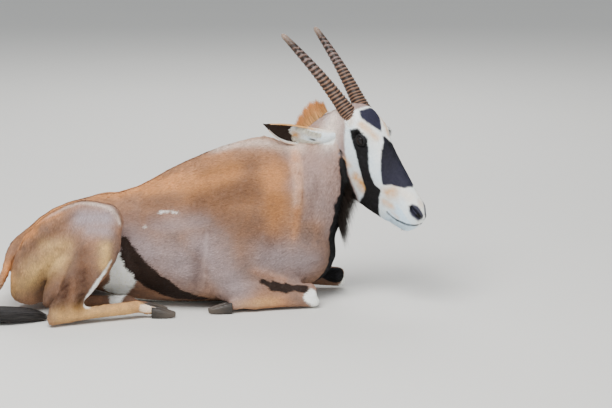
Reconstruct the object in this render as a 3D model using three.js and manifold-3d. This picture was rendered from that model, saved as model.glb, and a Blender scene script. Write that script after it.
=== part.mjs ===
// A young gemsbok lying on its chest with its legs folded, life size, in millimetres.
// +X is forward along the back, +Y is the animal's left, +Z is up, and the floor is z = 0.
// The origin is on the floor under the middle of the chest.
// The hindquarters rest on the left hip, and the head is turned to the animal's right.
import * as THREE from "three";
import { LoftGeometry } from "three/addons/geometries/LoftGeometry.js";
import { mergeVertices } from "three/addons/utils/BufferGeometryUtils.js";
import Module from "manifold-3d";

const wasm = await Module();
wasm.setup();

// Driving dimensions
const GROWN = 0.45; // a neighbour is swollen this far before it carves a node: a gap of about 0.3
const HORN_ROOT_RADIUS = 24;
const HORN_RINGS = 16;
const HORN_SPREAD = 29; // from the middle of the forehead to a horn's axis
const RINGED_PART = 0.78; // share of the horn that carries rings
const EYE_RADIUS = 17;
const LID_THICKNESS = 3;
const EAR_WIDTH = 60;
const EAR_WALL = 3.2;
const MANE_LOCKS = 20;
const MANE_HEIGHT = 52;
const THROAT_LOCKS = 11;
const TAIL_LOCKS = 12;
const LOCK_THICKNESS = 3;
const FINEST_EDGE = 0.12;
const CLAW_SPACING = 20; // between the middles of a hoof's two claws

const v = (x, y, z) => new THREE.Vector3(x, y, z);
const UP = v(0, 0, 1);
const SIDES = { right: -1, left: 1 };

// The head's own frame lies midway between the horn roots.
// Its x runs down the face, its y to the left and its z out of the forehead.
const headFrame = new THREE.Matrix4()
  .makeTranslation(v(459, -25, 527))
  .multiply(new THREE.Matrix4().makeRotationZ(THREE.MathUtils.degToRad(-40)))
  .multiply(new THREE.Matrix4().makeRotationY(THREE.MathUtils.degToRad(49.3)))
  .multiply(new THREE.Matrix4().makeRotationX(THREE.MathUtils.degToRad(5)));
const onHead = (x, y, z) => v(x, y, z).applyMatrix4(headFrame);

// A repeatable draw between -1 and 1
function drawsFrom(seed) {
  let state = seed;
  return () => {
    state = (state * 1664525 + 1013904223) % 4294967296;
    return (state / 4294967296) * 2 - 1;
  };
}

// A smooth run of numbers through the given ones, for t from 0 to 1
function through(values, t) {
  const span = t * (values.length - 1);
  const i = Math.min(Math.floor(span), values.length - 2);
  const f = span - i;
  const a = values[Math.max(i - 1, 0)];
  const b = values[i];
  const c = values[i + 1];
  const d = values[Math.min(i + 2, values.length - 1)];
  return b + 0.5 * f * (c - a + f * (2 * a - 5 * b + 4 * c - d + f * (3 * (b - c) + d - a)));
}

// One point of a section: half widths to either side, heights up and down, and how square each half is
function sectionPoint(at, { up, side }, s, angle) {
  const c = Math.cos(angle);
  const n = Math.sin(angle);
  const square = c > 0 ? s.squareUp : s.squareDown;
  const rise = Math.sign(c) * Math.abs(c) ** (2 / square) * (c > 0 ? s.up : s.down);
  const reach = Math.sign(n) * Math.abs(n) ** (2 / square) * (n > 0 ? s.right : s.left);
  return at.clone().addScaledVector(up, rise).addScaledVector(side, reach);
}

function section(at, axes, s, count) {
  return Array.from({ length: count }, (_, k) => sectionPoint(at, axes, s, (k / count) * 2 * Math.PI));
}

const oval = (across, tall) => ({
  up: tall,
  down: tall,
  left: across,
  right: across,
  squareUp: 2,
  squareDown: 2,
});

// Stations name a section's place and size, and the surface runs smoothly through them
function surface(stations, lean = UP) {
  const full = stations.map((s) => ({
    squareUp: 2,
    squareDown: 2,
    ...s,
    down: s.down ?? s.up,
    left: s.left ?? s.right,
  }));
  const value = (key, t) => through(full.map((s) => s[key]), t);
  const place = (t) => v(value("x", t), value("y", t), value("z", t));
  const axes = (t) => {
    const along = place(Math.min(t + 0.01, 1)).sub(place(Math.max(t - 0.01, 0))).normalize();
    const side = along.clone().cross(lean).normalize();
    return { along, side, up: side.clone().cross(along) };
  };
  const sizes = (t, scale = 1) => {
    const s = { squareUp: value("squareUp", t), squareDown: value("squareDown", t) };
    for (const key of ["up", "down", "left", "right"]) {
      s[key] = value(key, t) * scale;
    }
    return s;
  };
  const on = (t, angle) => sectionPoint(place(t), axes(t), sizes(t), angle);
  const out = (t, angle) => on(t, angle).sub(place(t)).normalize();
  return { value, place, axes, sizes, on, out };
}

// A body with domed ends through the stations
function body(stations, { steps, count, lean = UP, domes = [0.3, 0.3], domeRings = [30, 66] }) {
  const { value, place, axes, sizes } = surface(stations, lean);
  const ring = (t, scale, push) => {
    const frame = axes(t);
    return section(place(t).addScaledVector(frame.along, push), frame, sizes(t, scale), count);
  };
  const dome = (t, depth) =>
    domeRings.map((angle) => {
      const a = THREE.MathUtils.degToRad(angle);
      const push = Math.sin(a) * Math.min(value("right", t), value("up", t)) * 2 * depth;
      return ring(t, Math.cos(a), t > 0.5 ? push : -push);
    });
  const rings = dome(0, domes[0]).reverse();
  for (let i = 0; i <= steps; i += 1) {
    rings.push(ring(i / steps, 1, 0));
  }
  rings.push(...dome(1, domes[1]));
  return lofted(rings);
}

function lofted(rings) {
  return merged(new LoftGeometry(rings, { closed: true, capStart: true, capEnd: true }));
}

function merged(geometry) {
  const bare = new THREE.BufferGeometry().copy(geometry);
  bare.deleteAttribute("normal");
  bare.deleteAttribute("uv");
  const whole = mergeVertices(bare, 1e-3);
  whole.computeVertexNormals();
  return whole;
}

// Raises or sinks the surface round a point or a line by a height that fades over a reach
function modelled(geometry, marks) {
  const place = geometry.attributes.position;
  const normal = geometry.attributes.normal;
  const near = v(0, 0, 0);
  for (let i = 0; i < place.count; i += 1) {
    const p = v(0, 0, 0).fromBufferAttribute(place, i);
    let rise = 0;
    for (const mark of marks) {
      new THREE.Line3(mark.from, mark.to ?? mark.from).closestPointToPoint(p, true, near);
      const far = mark.to ? near.distanceTo(p) : mark.from.distanceTo(p);
      rise += mark.height * Math.exp(-((far / mark.reach) ** 2));
    }
    p.addScaledVector(v(0, 0, 0).fromBufferAttribute(normal, i), rise);
    place.setXYZ(i, p.x, p.y, p.z);
  }
  geometry.computeVertexNormals();
  return geometry;
}

// The same marks on the right and on the left
function both(marksFor) {
  return Object.values(SIDES).flatMap((side) => marksFor(side));
}

function moved(geometry, matrix) {
  geometry.applyMatrix4(matrix);
  geometry.computeVertexNormals();
  return geometry;
}

function solid(geometry) {
  const whole = merged(geometry);
  const vertProperties = new Float32Array(whole.attributes.position.array);
  const triVerts = new Uint32Array(whole.index.array);
  return new wasm.Manifold(new wasm.Mesh({ numProp: 3, vertProperties, triVerts }));
}

const everywhere = { from: v(0, 0, 0), reach: 1e9, height: GROWN };
const grown = (geometry) => solid(modelled(geometry.clone(), [everywhere]));
const under = solid(new THREE.BoxGeometry(3000, 3000, 400).translate(0, 0, -200));
const joined = (solids) => solids.reduce((whole, piece) => whole.add(piece));
const carved = (whole, cutters) => cutters.reduce((rest, cutter) => rest.subtract(cutter), whole);

// A flat tapered lock of hair along a line of points, its broad side facing out
function lock(line, out, width) {
  const broad = [0.7, 1, 0.75, 0.1];
  const thick = [1, 1, 0.8, 0.25];
  const rings = line.map((at, i) => {
    const along = line[Math.min(i + 1, line.length - 1)].clone().sub(line[Math.max(i - 1, 0)]).normalize();
    const side = along.clone().cross(out).normalize();
    const frame = { side, up: side.clone().cross(along) };
    const half = (LOCK_THICKNESS / 2) * thick[i];
    const reach = (width / 2) * broad[i];
    return section(at, frame, oval(reach, half), 4);
  });
  return solid(lofted(rings));
}

const group = new THREE.Group();

// Whether every edge of a list of faces runs once each way
function isClosed(faces) {
  const edges = faces.flatMap(([a, b, c]) => [`${a} ${b}`, `${b} ${c}`, `${c} ${a}`]);
  const seen = new Set(edges);
  return seen.size === edges.length && edges.every((edge) => seen.has(edge.split(" ").reverse().join(" ")));
}

// Corners closer together than the finest edge become one, where the surface stays closed
function withoutSlivers(geometry) {
  const close = mergeVertices(geometry, FINEST_EDGE);
  const corners = close.index.array;
  const kept = new Map();
  for (let i = 0; i < corners.length; i += 3) {
    const face = [corners[i], corners[i + 1], corners[i + 2]];
    const key = [...face].sort((a, b) => a - b).join();
    if (new Set(face).size === 3 && !kept.delete(key)) {
      kept.set(key, face);
    }
  }
  const faces = [...kept.values()];
  close.setIndex(faces.flat());
  return isClosed(faces) ? close : geometry;
}

// The largest closed surface of a solid becomes a named node
function addNode(name, whole, colour, roughness = 0.85) {
  const pieces = whole.decompose();
  const mesh = pieces.sort((a, b) => b.volume() - a.volume())[0].getMesh();
  const bare = new THREE.BufferGeometry();
  bare.setAttribute("position", new THREE.BufferAttribute(mesh.vertProperties, 3));
  bare.setIndex(new THREE.BufferAttribute(mesh.triVerts, 1));
  const geometry = withoutSlivers(bare);
  geometry.computeVertexNormals();
  const material = new THREE.MeshStandardMaterial({ color: colour, roughness });
  material.name = name + "_finish";
  const node = new THREE.Mesh(geometry, material);
  node.name = name;
  group.add(node);
}

const HIDE = 0xa58a72;
const PALE = 0xe6ddd0;
const DARK = 0x2a2422;
const HORN = 0x6d5f54;

// Torso, from the rump to the breast
const torsoStations = [
  { x: -462, y: 34, z: 118, right: 52, left: 70, up: 48, down: 58 },
  { x: -436, y: 34, z: 130, right: 86, left: 112, up: 68, down: 78 },
  { x: -392, y: 30, z: 140, right: 116, left: 140, up: 97, down: 98 },
  { x: -330, y: 24, z: 148, right: 138, left: 150, up: 120, down: 108 },
  { x: -265, y: 16, z: 152, right: 148, left: 154, up: 138, down: 124 },
  { x: -198, y: 8, z: 155, right: 154, left: 156, up: 147, down: 148 },
  { x: -113, y: 2, z: 155, right: 164, left: 164, up: 178, down: 158 },
  { x: -40, y: 0, z: 158, right: 174, left: 174, up: 214, down: 161, squareDown: 2.2 },
  { x: 40, y: 0, z: 160, right: 180, left: 180, up: 250, down: 163, squareDown: 2.2 },
  { x: 110, y: 0, z: 160, right: 178, left: 178, up: 278, down: 163, squareUp: 1.9, squareDown: 2.2 },
  { x: 175, y: 0, z: 158, right: 168, left: 168, up: 296, down: 160, squareUp: 1.75 },
  { x: 235, y: 0, z: 158, right: 152, left: 152, up: 295, down: 150, squareUp: 1.7 },
  { x: 290, y: 0, z: 160, right: 134, left: 134, up: 268, down: 138, squareUp: 1.8 },
  { x: 335, y: 0, z: 162, right: 112, left: 112, up: 210, down: 122 },
  { x: 368, y: 0, z: 165, right: 84, left: 84, up: 145, down: 100 },
  { x: 388, y: 0, z: 168, right: 50, left: 50, up: 88, down: 66 },
];
const torsoShape = modelled(body(torsoStations, { steps: 24, count: 20, domes: [0.15, 0.12] }), [
  ...both((side) => [
    { from: v(120, side * 165, 130), to: v(215, side * 130, 330), reach: 62, height: 12 },
    { from: v(62, side * 170, 90), reach: 60, height: 14 },
    { from: v(20, side * 175, 250), to: v(40, side * 178, 120), reach: 34, height: -7 },
    { from: v(-175, side * 150, 200), to: v(-150, side * 150, 90), reach: 60, height: -12 },
  ]),
  { from: v(-330, 15, 285), to: v(-380, 15, 262), reach: 40, height: 6 },
]);

// Neck, from inside the chest to inside the head, its crest towards the back
const neckLean = v(-1, 0, 0.35);
const neckStations = [
  { x: 262, y: 0, z: 268, up: 140, down: 165, right: 96 },
  { x: 306, y: 0, z: 292, up: 140, down: 158, right: 96 },
  { x: 346, y: 3, z: 330, up: 136, down: 98, right: 87 },
  { x: 368, y: 8, z: 372, up: 130, down: 74, right: 76 },
  { x: 384, y: 14, z: 412, up: 106, down: 62, right: 66 },
  { x: 398, y: 20, z: 446, up: 80, down: 54, right: 58 },
  { x: 412, y: 26, z: 474, up: 60, down: 46, right: 52 },
  { x: 424, y: 30, z: 494, up: 46, down: 38, right: 46 },
].map((s) => ({ ...s, squareUp: 1.8 }));
const neckSurface = surface(neckStations, neckLean);
const neckShape = body(neckStations, { steps: 11, count: 16, lean: neckLean, domes: [0.1, 0.2] });

// The erect mane stands on the crest and leans towards the head, tallest just behind it
function maneLocks() {
  const draw = drawsFrom(7);
  return Array.from({ length: MANE_LOCKS }, (_, i) => {
    const f = i / (MANE_LOCKS - 1);
    const t = 0.56 + 0.42 * f + 0.008 * draw();
    const angle = (i % 2 ? 0.1 : -0.1) + 0.07 * draw();
    const height = MANE_HEIGHT * through([0.3, 0.55, 0.85, 1, 0.95, 0.65], f) * (1 + 0.1 * draw());
    const root = neckSurface.on(t, angle);
    const rise = neckSurface.out(t, angle);
    const { along, side } = neckSurface.axes(t);
    const lean = 0.3 + 0.12 * draw();
    const line = [-0.28, 0.2, 0.62, 1].map((u) =>
      root
        .clone()
        .addScaledVector(rise, height * u)
        .addScaledVector(along, height * lean * Math.max(u, 0) ** 1.5)
        .addScaledVector(side, height * 0.12 * draw() * Math.max(u, 0)),
    );
    return lock(line, side, 17);
  });
}

// The throat tuft hangs from the front of the neck under the jaw
function throatLocks() {
  const draw = drawsFrom(21);
  return Array.from({ length: THROAT_LOCKS }, (_, i) => {
    const f = i / (THROAT_LOCKS - 1);
    const t = 0.22 + (0.14 * ((i * 7) % THROAT_LOCKS)) / THROAT_LOCKS;
    const angle = Math.PI + (f - 0.5) * 1;
    const length = 92 * (1 - 0.5 * Math.abs(f - 0.5)) * (1 + 0.12 * draw());
    const root = neckSurface.on(t, angle);
    const rise = neckSurface.out(t, angle);
    const line = [-0.3, 0.2, 0.62, 1].map((u) =>
      root
        .clone()
        .addScaledVector(rise, length * (u < 0 ? u : 0.42 * Math.sin(u * 1.9)))
        .add(v(0, 6 * draw() * u, -length * Math.max(u, 0) ** 1.2)),
    );
    return lock(line, rise, 26);
  });
}

// Head, in its own frame, from the back of the skull to the muzzle
const headStations = [
  { x: -34, z: -72, up: 28, down: 56, right: 38 },
  { x: -20, z: -68, up: 56, down: 74, right: 51 },
  { x: 2, z: -64, up: 75, down: 88, right: 57, squareUp: 2.2 },
  { x: 30, z: -58, up: 91, down: 102, right: 60, squareUp: 2.4, squareDown: 1.8 },
  { x: 58, z: -52, up: 86, down: 113, right: 62, squareUp: 2.7, squareDown: 1.65 },
  { x: 86, z: -47, up: 78, down: 130, right: 62, squareUp: 2.8, squareDown: 1.6 },
  { x: 116, z: -44, up: 72, down: 141, right: 56, squareUp: 2.4, squareDown: 1.55 },
  { x: 150, z: -44, up: 68, down: 143, right: 49, squareUp: 2.2, squareDown: 1.6 },
  { x: 190, z: -45, up: 66, down: 132, right: 43, squareUp: 2.1, squareDown: 1.7 },
  { x: 230, z: -46, up: 63, down: 112, right: 38, squareUp: 2.1, squareDown: 1.8 },
  { x: 268, z: -46, up: 59, down: 90, right: 35, squareUp: 2.1, squareDown: 1.9 },
  { x: 300, z: -44, up: 53, down: 68, right: 35, squareUp: 2.2 },
  { x: 326, z: -43, up: 46, down: 55, right: 34, squareUp: 2.3 },
  { x: 342, z: -42, up: 37, down: 45, right: 29, squareUp: 2.3 },
].map((s) => ({ y: 0, ...s }));
const headSurface = surface(headStations);

// How far the side of the head stands from its middle plane, at a place along the face and a height
function flank(x, z) {
  let low = 0;
  let high = 1;
  while (high - low > 1e-4) {
    const t = (low + high) / 2;
    if (headSurface.value("x", t) < x) {
      low = t;
    } else {
      high = t;
    }
  }
  const s = headSurface.sizes(low);
  const rise = z - headSurface.value("z", low);
  const [height, square] = rise > 0 ? [s.up, s.squareUp] : [s.down, s.squareDown];
  return s.right * Math.max(0, 1 - (Math.abs(rise) / height) ** square) ** (1 / square);
}

const headShape = modelled(
  moved(body(headStations, { steps: 24, count: 20, domes: [0.25, 0.28] }), headFrame),
  both((side) => [
    { from: onHead(78, side * 60, 18), reach: 24, height: 6 },
    { from: onHead(100, side * 56, -30), to: onHead(165, side * 45, -50), reach: 18, height: 4 },
    { from: onHead(130, side * 44, -95), reach: 44, height: 5 },
    { from: onHead(135, side * 44, 2), to: onHead(195, side * 36, -8), reach: 22, height: -3 },
    { from: onHead(0, side * HORN_SPREAD, 8), reach: 28, height: 4 },
    { from: onHead(308, side * 34, -62), to: onHead(346, side * 24, -44), reach: 15, height: 2.5 },
    { from: onHead(330, side * 26, 2), to: onHead(352, side * 14, -2), reach: 14, height: 2.5 },
    { from: onHead(330, side * 6, -96), reach: 18, height: 1.5 },
  ]),
);

const eyeAt = (side) => v(84, side * 47.5, -4);
const eyeShape = (side, radius, columns, rows) => {
  const at = eyeAt(side).applyMatrix4(headFrame);
  return merged(new THREE.SphereGeometry(radius, columns, rows).translate(at.x, at.y, at.z));
};

// The opening between the lids, drawn out to a corner in front and behind
function lidOpening(side) {
  const at = eyeAt(side);
  const almond = new THREE.SphereGeometry(1, 10, 6).scale(20, 12, 12).rotateY(0.25);
  almond.translate(at.x, at.y + side * 17, at.z);
  return solid(moved(merged(almond), headFrame));
}

function nostril(side) {
  const stations = [
    { x: 305, y: 32, z: -12, up: 2.6, right: 2.6 },
    { x: 318, y: 30, z: -7, up: 6, right: 6 },
    { x: 334, y: 26, z: -6, up: 7, right: 7 },
    { x: 347, y: 19, z: -9, up: 6, right: 6 },
    { x: 355, y: 12, z: -16, up: 3, right: 3 },
  ].map((s) => ({ ...s, y: side * s.y }));
  return solid(moved(body(stations, { steps: 5, count: 6, domeRings: [60] }), headFrame));
}

// The groove between the lips, from one corner of the mouth round the front to the other
function mouth() {
  const lip = [
    [294, -79],
    [306, -72],
    [320, -65],
    [334, -58],
    [342, -54],
  ];
  const half = (side) => lip.map(([x, z]) => ({ x, y: side * flank(x, z), z, up: 2, right: 4 }));
  const front = [
    { x: 352, y: -19, z: -51, up: 2, right: 4 },
    { x: 358, y: 0, z: -50, up: 2, right: 4 },
    { x: 352, y: 19, z: -51, up: 2, right: 4 },
  ];
  const stations = [...half(-1), ...front, ...half(1).reverse()];
  return solid(moved(body(stations, { steps: 15, count: 4, domeRings: [] }), headFrame));
}

// A slightly bowed horn with raised rings up to its smooth, blunt tip
function hornShape(side) {
  const root = v(-2, side * HORN_SPREAD, -6);
  const tip = v(-285, side * 78, -17 - side * 6);
  const steps = Math.round((HORN_RINGS * 2) / RINGED_PART);
  const along = tip.clone().sub(root).normalize();
  const frame = { side: along.clone().cross(UP).normalize() };
  frame.up = frame.side.clone().cross(along);
  const rings = [];
  for (let i = 0; i <= steps; i += 1) {
    const t = i / steps;
    const fade = Math.max(0, 1 - (t / RINGED_PART) ** 6);
    const ripple = 1 + 0.075 * fade * Math.cos((t / RINGED_PART) * HORN_RINGS * 2 * Math.PI);
    const blunt = Math.sqrt(Math.max(0.05, 1 - Math.max(0, (t - 0.965) / 0.035) ** 2));
    const r = HORN_ROOT_RADIUS * (1 - 0.68 * t ** 1.35) * ripple * blunt;
    const at = root.clone().lerp(tip, t).addScaledVector(frame.up, 9 * Math.sin(Math.PI * t));
    rings.push(section(at, frame, oval(r, r), 8));
  }
  return moved(lofted(rings), headFrame);
}

// A leaf-shaped ear: a tube at the root that opens into a cup facing `open`, its middle sagging to one edge
function earShape(root, tip, open, sag) {
  const along = tip.clone().sub(root).normalize();
  const across = along.clone().cross(open).normalize();
  const front = across.clone().cross(along);
  const steps = 13;
  const arc = 6;
  const rings = [];
  for (let i = 0; i <= steps; i += 1) {
    const t = i / steps;
    const half = (EAR_WIDTH / 2) * through([0.66, 0.82, 0.93, 1, 0.98, 0.78, 0.44, 0.05], t);
    const depth = half * through([0.9, 0.85, 0.8, 0.75, 0.66, 0.52, 0.4, 0.6], t);
    const wall = Math.min(EAR_WALL, half * 0.4);
    const hollow = through([-0.8, -0.7, -0.1, 0.66, 0.86, 0.84, 0.66, 0.1], t);
    const bend = Math.sin(Math.PI * t);
    const at = root.clone().lerp(tip, t);
    at.addScaledVector(front, -10 * bend).addScaledVector(across, sag * bend);
    const edge = (k, width, deep) => {
      const a = Math.PI * (k / arc - 0.5);
      const out = at.clone().addScaledVector(across, width * Math.sin(a));
      return out.addScaledVector(front, -deep * Math.cos(a));
    };
    const ring = [];
    for (let k = 0; k <= arc; k += 1) {
      ring.push(edge(k, half, depth));
    }
    for (let k = arc; k >= 0; k -= 1) {
      ring.push(edge(k, half - wall, depth * hollow).addScaledVector(front, 0.6));
    }
    rings.push(ring.reverse());
  }
  return lofted(rings);
}

// A straight limb from a to b: each size is a share of the way, a half width and a half height
function limb(a, b, sizes, options) {
  const stations = sizes.map(([f, right, up]) => {
    const at = a.clone().lerp(b, f);
    return { x: at.x, y: at.y, z: at.z, right, up };
  });
  return body(stations, { domeRings: [50], domes: [0.4, 0.4], ...options });
}
const HIND_CANNON = [[0, 23, 27], [0.15, 20, 23], [0.5, 15, 19], [0.82, 17, 19], [1, 21, 22]];
const FOREARM = [[0, 42, 50], [0.28, 38, 42], [0.6, 28, 30], [0.86, 24, 26], [1, 27, 29]];
const FORE_CANNON = [[0, 20, 20], [0.4, 14, 15], [0.8, 15, 16], [1, 19, 19]];
const PASTERN = [[0, 18, 17], [0.5, 17, 15], [1, 20, 16]];
const CANNON_ROUND = { count: 9, domeRings: [35, 70] };
const hindCannon = (a, b) => limb(a, b, HIND_CANNON, { steps: 6, ...CANNON_ROUND });
const forearm = (a, b) => limb(a, b, FOREARM, { steps: 7, count: 12 });
const foreCannon = (a, b) => limb(a, b, FORE_CANNON, { steps: 5, ...CANNON_ROUND });
const pastern = (a, b) => limb(a, b, PASTERN, { steps: 3, count: 9 });

// One of a hoof's two claws: a pointed wedge with a flat sole, bent towards its neighbour
function claw(at, forward, side) {
  const along = forward.clone().normalize();
  const frame = { side: along.clone().cross(UP).normalize(), up: UP };
  const rings = [];
  const steps = 5;
  for (let i = 0; i <= steps; i += 1) {
    const t = i / steps;
    const half = through([8, 9.5, 9.6, 8.6, 6.4, 2.2], t);
    const top = through([17, 16, 13, 9, 5, 1], t);
    const bottom = through([-14, -14, -14, -14, -13, -11], t);
    const apart = side * (CLAW_SPACING / 2 - 3 * t * t);
    const rise = (top - bottom) / 2;
    const middle = at.clone().addScaledVector(along, 64 * t - 12).addScaledVector(frame.side, apart);
    middle.z += (top + bottom) / 2;
    rings.push(section(middle, frame, { ...oval(half, rise), squareUp: 2.2, squareDown: 3 }, 10));
  }
  return lofted(rings);
}

// The two small dewclaws behind a fetlock
function dewclaws(fetlock, toward, back) {
  const along = toward.clone().sub(fetlock).normalize();
  const side = along.clone().cross(back).normalize();
  return [-1, 1].map((s) => {
    const root = fetlock.clone().addScaledVector(side, s * 8).addScaledVector(back, 12);
    const tip = root.clone().addScaledVector(along, 10).addScaledVector(back, 9);
    return solid(limb(root, tip, [[0, 6, 6], [1, 4.4, 4.4]], { steps: 1, count: 5, domeRings: [60] }));
  });
}

// Upper legs
const thighRight = body(
  [
    { x: -446, y: -86, z: 46, right: 60, up: 50 },
    { x: -432, y: -96, z: 112, right: 72, up: 62 },
    { x: -390, y: -112, z: 172, right: 76, up: 78 },
    { x: -332, y: -130, z: 207, right: 74, up: 88 },
    { x: -276, y: -150, z: 236, right: 66, up: 84 },
    { x: -240, y: -165, z: 254, right: 54, up: 66 },
    { x: -214, y: -172, z: 266, right: 40, up: 46 },
  ],
  { steps: 10, count: 16 },
);
const shankRight = body(
  [
    { x: -228, y: -172, z: 266, right: 36, up: 34 },
    { x: -240, y: -188, z: 224, right: 48, up: 52 },
    { x: -270, y: -208, z: 168, right: 47, up: 58 },
    { x: -308, y: -236, z: 110, right: 38, up: 47 },
    { x: -345, y: -262, z: 62, right: 28, up: 33 },
    { x: -376, y: -284, z: 33, right: 24, up: 29 },
  ],
  { steps: 9, count: 14, lean: v(1, 0, 0) },
);
const thighLeft = body(
  [
    { x: -462, y: 90, z: 78, right: 70, up: 66 },
    { x: -420, y: 110, z: 96, right: 86, up: 88 },
    { x: -350, y: 135, z: 100, right: 88, up: 98 },
    { x: -280, y: 158, z: 96, right: 78, up: 90 },
    { x: -225, y: 172, z: 86, right: 60, up: 72 },
    { x: -196, y: 178, z: 78, right: 42, up: 50 },
  ],
  { steps: 9, count: 16 },
);
const shankLeft = body(
  [
    { x: -215, y: 168, z: 66, right: 46, up: 40 },
    { x: -255, y: 110, z: 56, right: 54, up: 46 },
    { x: -305, y: 40, z: 46, right: 46, up: 40 },
    { x: -350, y: -30, z: 34, right: 33, up: 31 },
    { x: -378, y: -80, z: 27, right: 26, up: 27 },
  ],
  { steps: 8, count: 12, domeRings: [50] },
);

// Tail: a thin dock that comes round the right of the rump, then a long tuft that lies on the floor
const dockShape = body(
  [
    { x: -440, y: 38, z: 186, right: 19, up: 19 },
    { x: -474, y: 30, z: 166, right: 17, up: 17 },
    { x: -498, y: 6, z: 132, right: 15, up: 15 },
    { x: -510, y: -38, z: 98, right: 13, up: 13 },
    { x: -530, y: -92, z: 66, right: 12, up: 12 },
    { x: -554, y: -146, z: 46, right: 11, up: 11 },
  ],
  { steps: 10, count: 10, domeRings: [50] },
);
const tuftStations = [
  { x: -555, y: -146, z: 44, right: 13, up: 13 },
  { x: -572, y: -190, z: 34, right: 22, up: 19 },
  { x: -560, y: -228, z: 27, right: 32, up: 21 },
  { x: -515, y: -240, z: 24, right: 33, up: 18 },
  { x: -465, y: -230, z: 17, right: 20, up: 12 },
  { x: -425, y: -214, z: 8, right: 7, up: 5 },
];
const tuftSurface = surface(tuftStations);
function tailLocks() {
  const draw = drawsFrom(33);
  return Array.from({ length: TAIL_LOCKS }, (_, i) => {
    const start = 0.04 + (0.5 * ((i * 11) % TAIL_LOCKS)) / TAIL_LOCKS;
    const angle = (i / TAIL_LOCKS) * 2 * Math.PI + 0.1 * draw();
    const span = 0.42 + 0.06 * draw();
    const turn = 0.2 * draw();
    const line = [0, 0.33, 0.67, 1].map((u) => {
      const t = Math.min(start + span * u, 0.99);
      const lift = through([-4, 2, 4, 5], u);
      return tuftSurface.on(t, angle + turn * u).addScaledVector(tuftSurface.out(t, angle), lift);
    });
    return lock(line, tuftSurface.out(start + span / 2, angle), 20);
  });
}

// Joining and carving
const perSide = (shape) => Object.fromEntries(Object.entries(SIDES).map(([side, s]) => [side, shape(s)]));
const eyes = perSide((s) => eyeShape(s, EYE_RADIUS, 12, 8));
const horns = perSide(hornShape);
const ears = {
  right: earShape(v(376, -34, 455), v(199, -66, 500), v(0.1, -0.9, -0.35), -20),
  left: earShape(onHead(4, 46, -84), v(477, 232, 452), v(0.75, 0.1, -0.35), 12),
};
const torsoGrown = grown(torsoShape);
const headGrown = grown(headShape);
const lids = Object.values(SIDES).map((side) => solid(eyeShape(side, EYE_RADIUS + LID_THICKNESS, 12, 8)));
const sockets = [...Object.values(eyes).map(grown), ...Object.values(SIDES).map(lidOpening)];
const head = carved(joined([solid(headShape), ...lids]), [...sockets, nostril(-1), nostril(1), mouth()]);
const hair = joined([solid(neckShape), ...maneLocks(), ...throatLocks()]);
const roots = [...Object.values(horns), ...Object.values(ears)].map(grown);
const neck = carved(hair, [torsoGrown, headGrown, ...roots]);

addNode("torso", solid(torsoShape).subtract(under), HIDE);
addNode("neck", neck, HIDE);
addNode("head", head, PALE);
for (const side of Object.keys(SIDES)) {
  addNode("eye_" + side, solid(eyes[side]), DARK, 0.1);
  addNode("horn_" + side, solid(horns[side]).subtract(headGrown), HORN, 0.6);
  addNode("ear_" + side, solid(ears[side]).subtract(headGrown), PALE);
}

// Each leg piece is carved by those before it
const hindFetlock = { right: v(-142, -210, 31), left: v(-166, -148, 29) };
const foreFetlock = { right: v(138, -172, 20), left: v(232, 118, 20) };
const foot = (fetlock, end, back) => [pastern(fetlock, end), dewclaws(fetlock, end, v(0, 0, back))];
const legs = [
  ["thigh_right", thighRight],
  ["shank_right", shankRight],
  ["hind_cannon_right", hindCannon(v(-384, -288, 27), hindFetlock.right)],
  ["hind_pastern_right", ...foot(hindFetlock.right, v(-112, -210, 19), -1)],
  ["thigh_left", thighLeft],
  ["shank_left", shankLeft],
  ["hind_cannon_left", hindCannon(v(-384, -92, 26), hindFetlock.left)],
  ["hind_pastern_left", ...foot(hindFetlock.left, v(-132, -156, 19), -1)],
  ["forearm_right", forearm(v(84, -142, 70), v(322, -124, 38))],
  ["fore_cannon_right", foreCannon(v(332, -140, 20), foreFetlock.right)],
  ["fore_pastern_right", ...foot(foreFetlock.right, v(98, -178, 18), 1)],
  ["forearm_left", forearm(v(180, 118, 70), v(418, 62, 38))],
  ["fore_cannon_left", foreCannon(v(428, 78, 20), foreFetlock.left)],
  ["fore_pastern_left", ...foot(foreFetlock.left, v(192, 126, 18), 1)],
];
const hooves = [
  ["hind_hoof_right", v(-104, -210, 14), v(1, -0.12, 0)],
  ["hind_hoof_left", v(-124, -158, 14), v(1, -0.12, 0)],
  ["fore_hoof_right", v(90, -179, 14), v(-1, -0.06, 0)],
  ["fore_hoof_left", v(184, 127, 14), v(-1, 0.14, 0)],
];
let taken = joined([torsoGrown, grown(neckShape)]);
for (const [name, at, forward] of hooves) {
  for (const [which, side] of [["outer", -1], ["inner", 1]]) {
    const shape = claw(at, forward, side);
    addNode(name + "_" + which, carved(solid(shape), [under, taken]), DARK, 0.4);
    taken = taken.add(grown(shape));
  }
}
for (const [name, shape, extras = []] of legs) {
  addNode(name, carved(joined([solid(shape), ...extras]), [under, taken]), HIDE);
  taken = taken.add(grown(shape));
}
addNode("tail_dock", solid(dockShape).subtract(taken), HIDE);
const tuft = joined([solid(body(tuftStations, { steps: 9, count: 10, domeRings: [50] })), ...tailLocks()]);
addNode("tail_tuft", carved(tuft, [under, taken, grown(dockShape)]), DARK);

export default group;
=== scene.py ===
"""A young gemsbok lying down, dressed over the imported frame.

One skin takes the place of the flesh, a coat of solid tufts lies over it, and the mane, the throat tuft, the tail
tuft, the horns, the eyes and the hooves are built as pieces of their own. Every length in a table is in millimetres.
"""

import logging
import math
from collections.abc import Callable, Iterable, Sequence
from dataclasses import dataclass, field
from enum import Enum

import bpy
import numpy as np
from mathutils import Matrix, Vector
from mathutils.kdtree import KDTree


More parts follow.
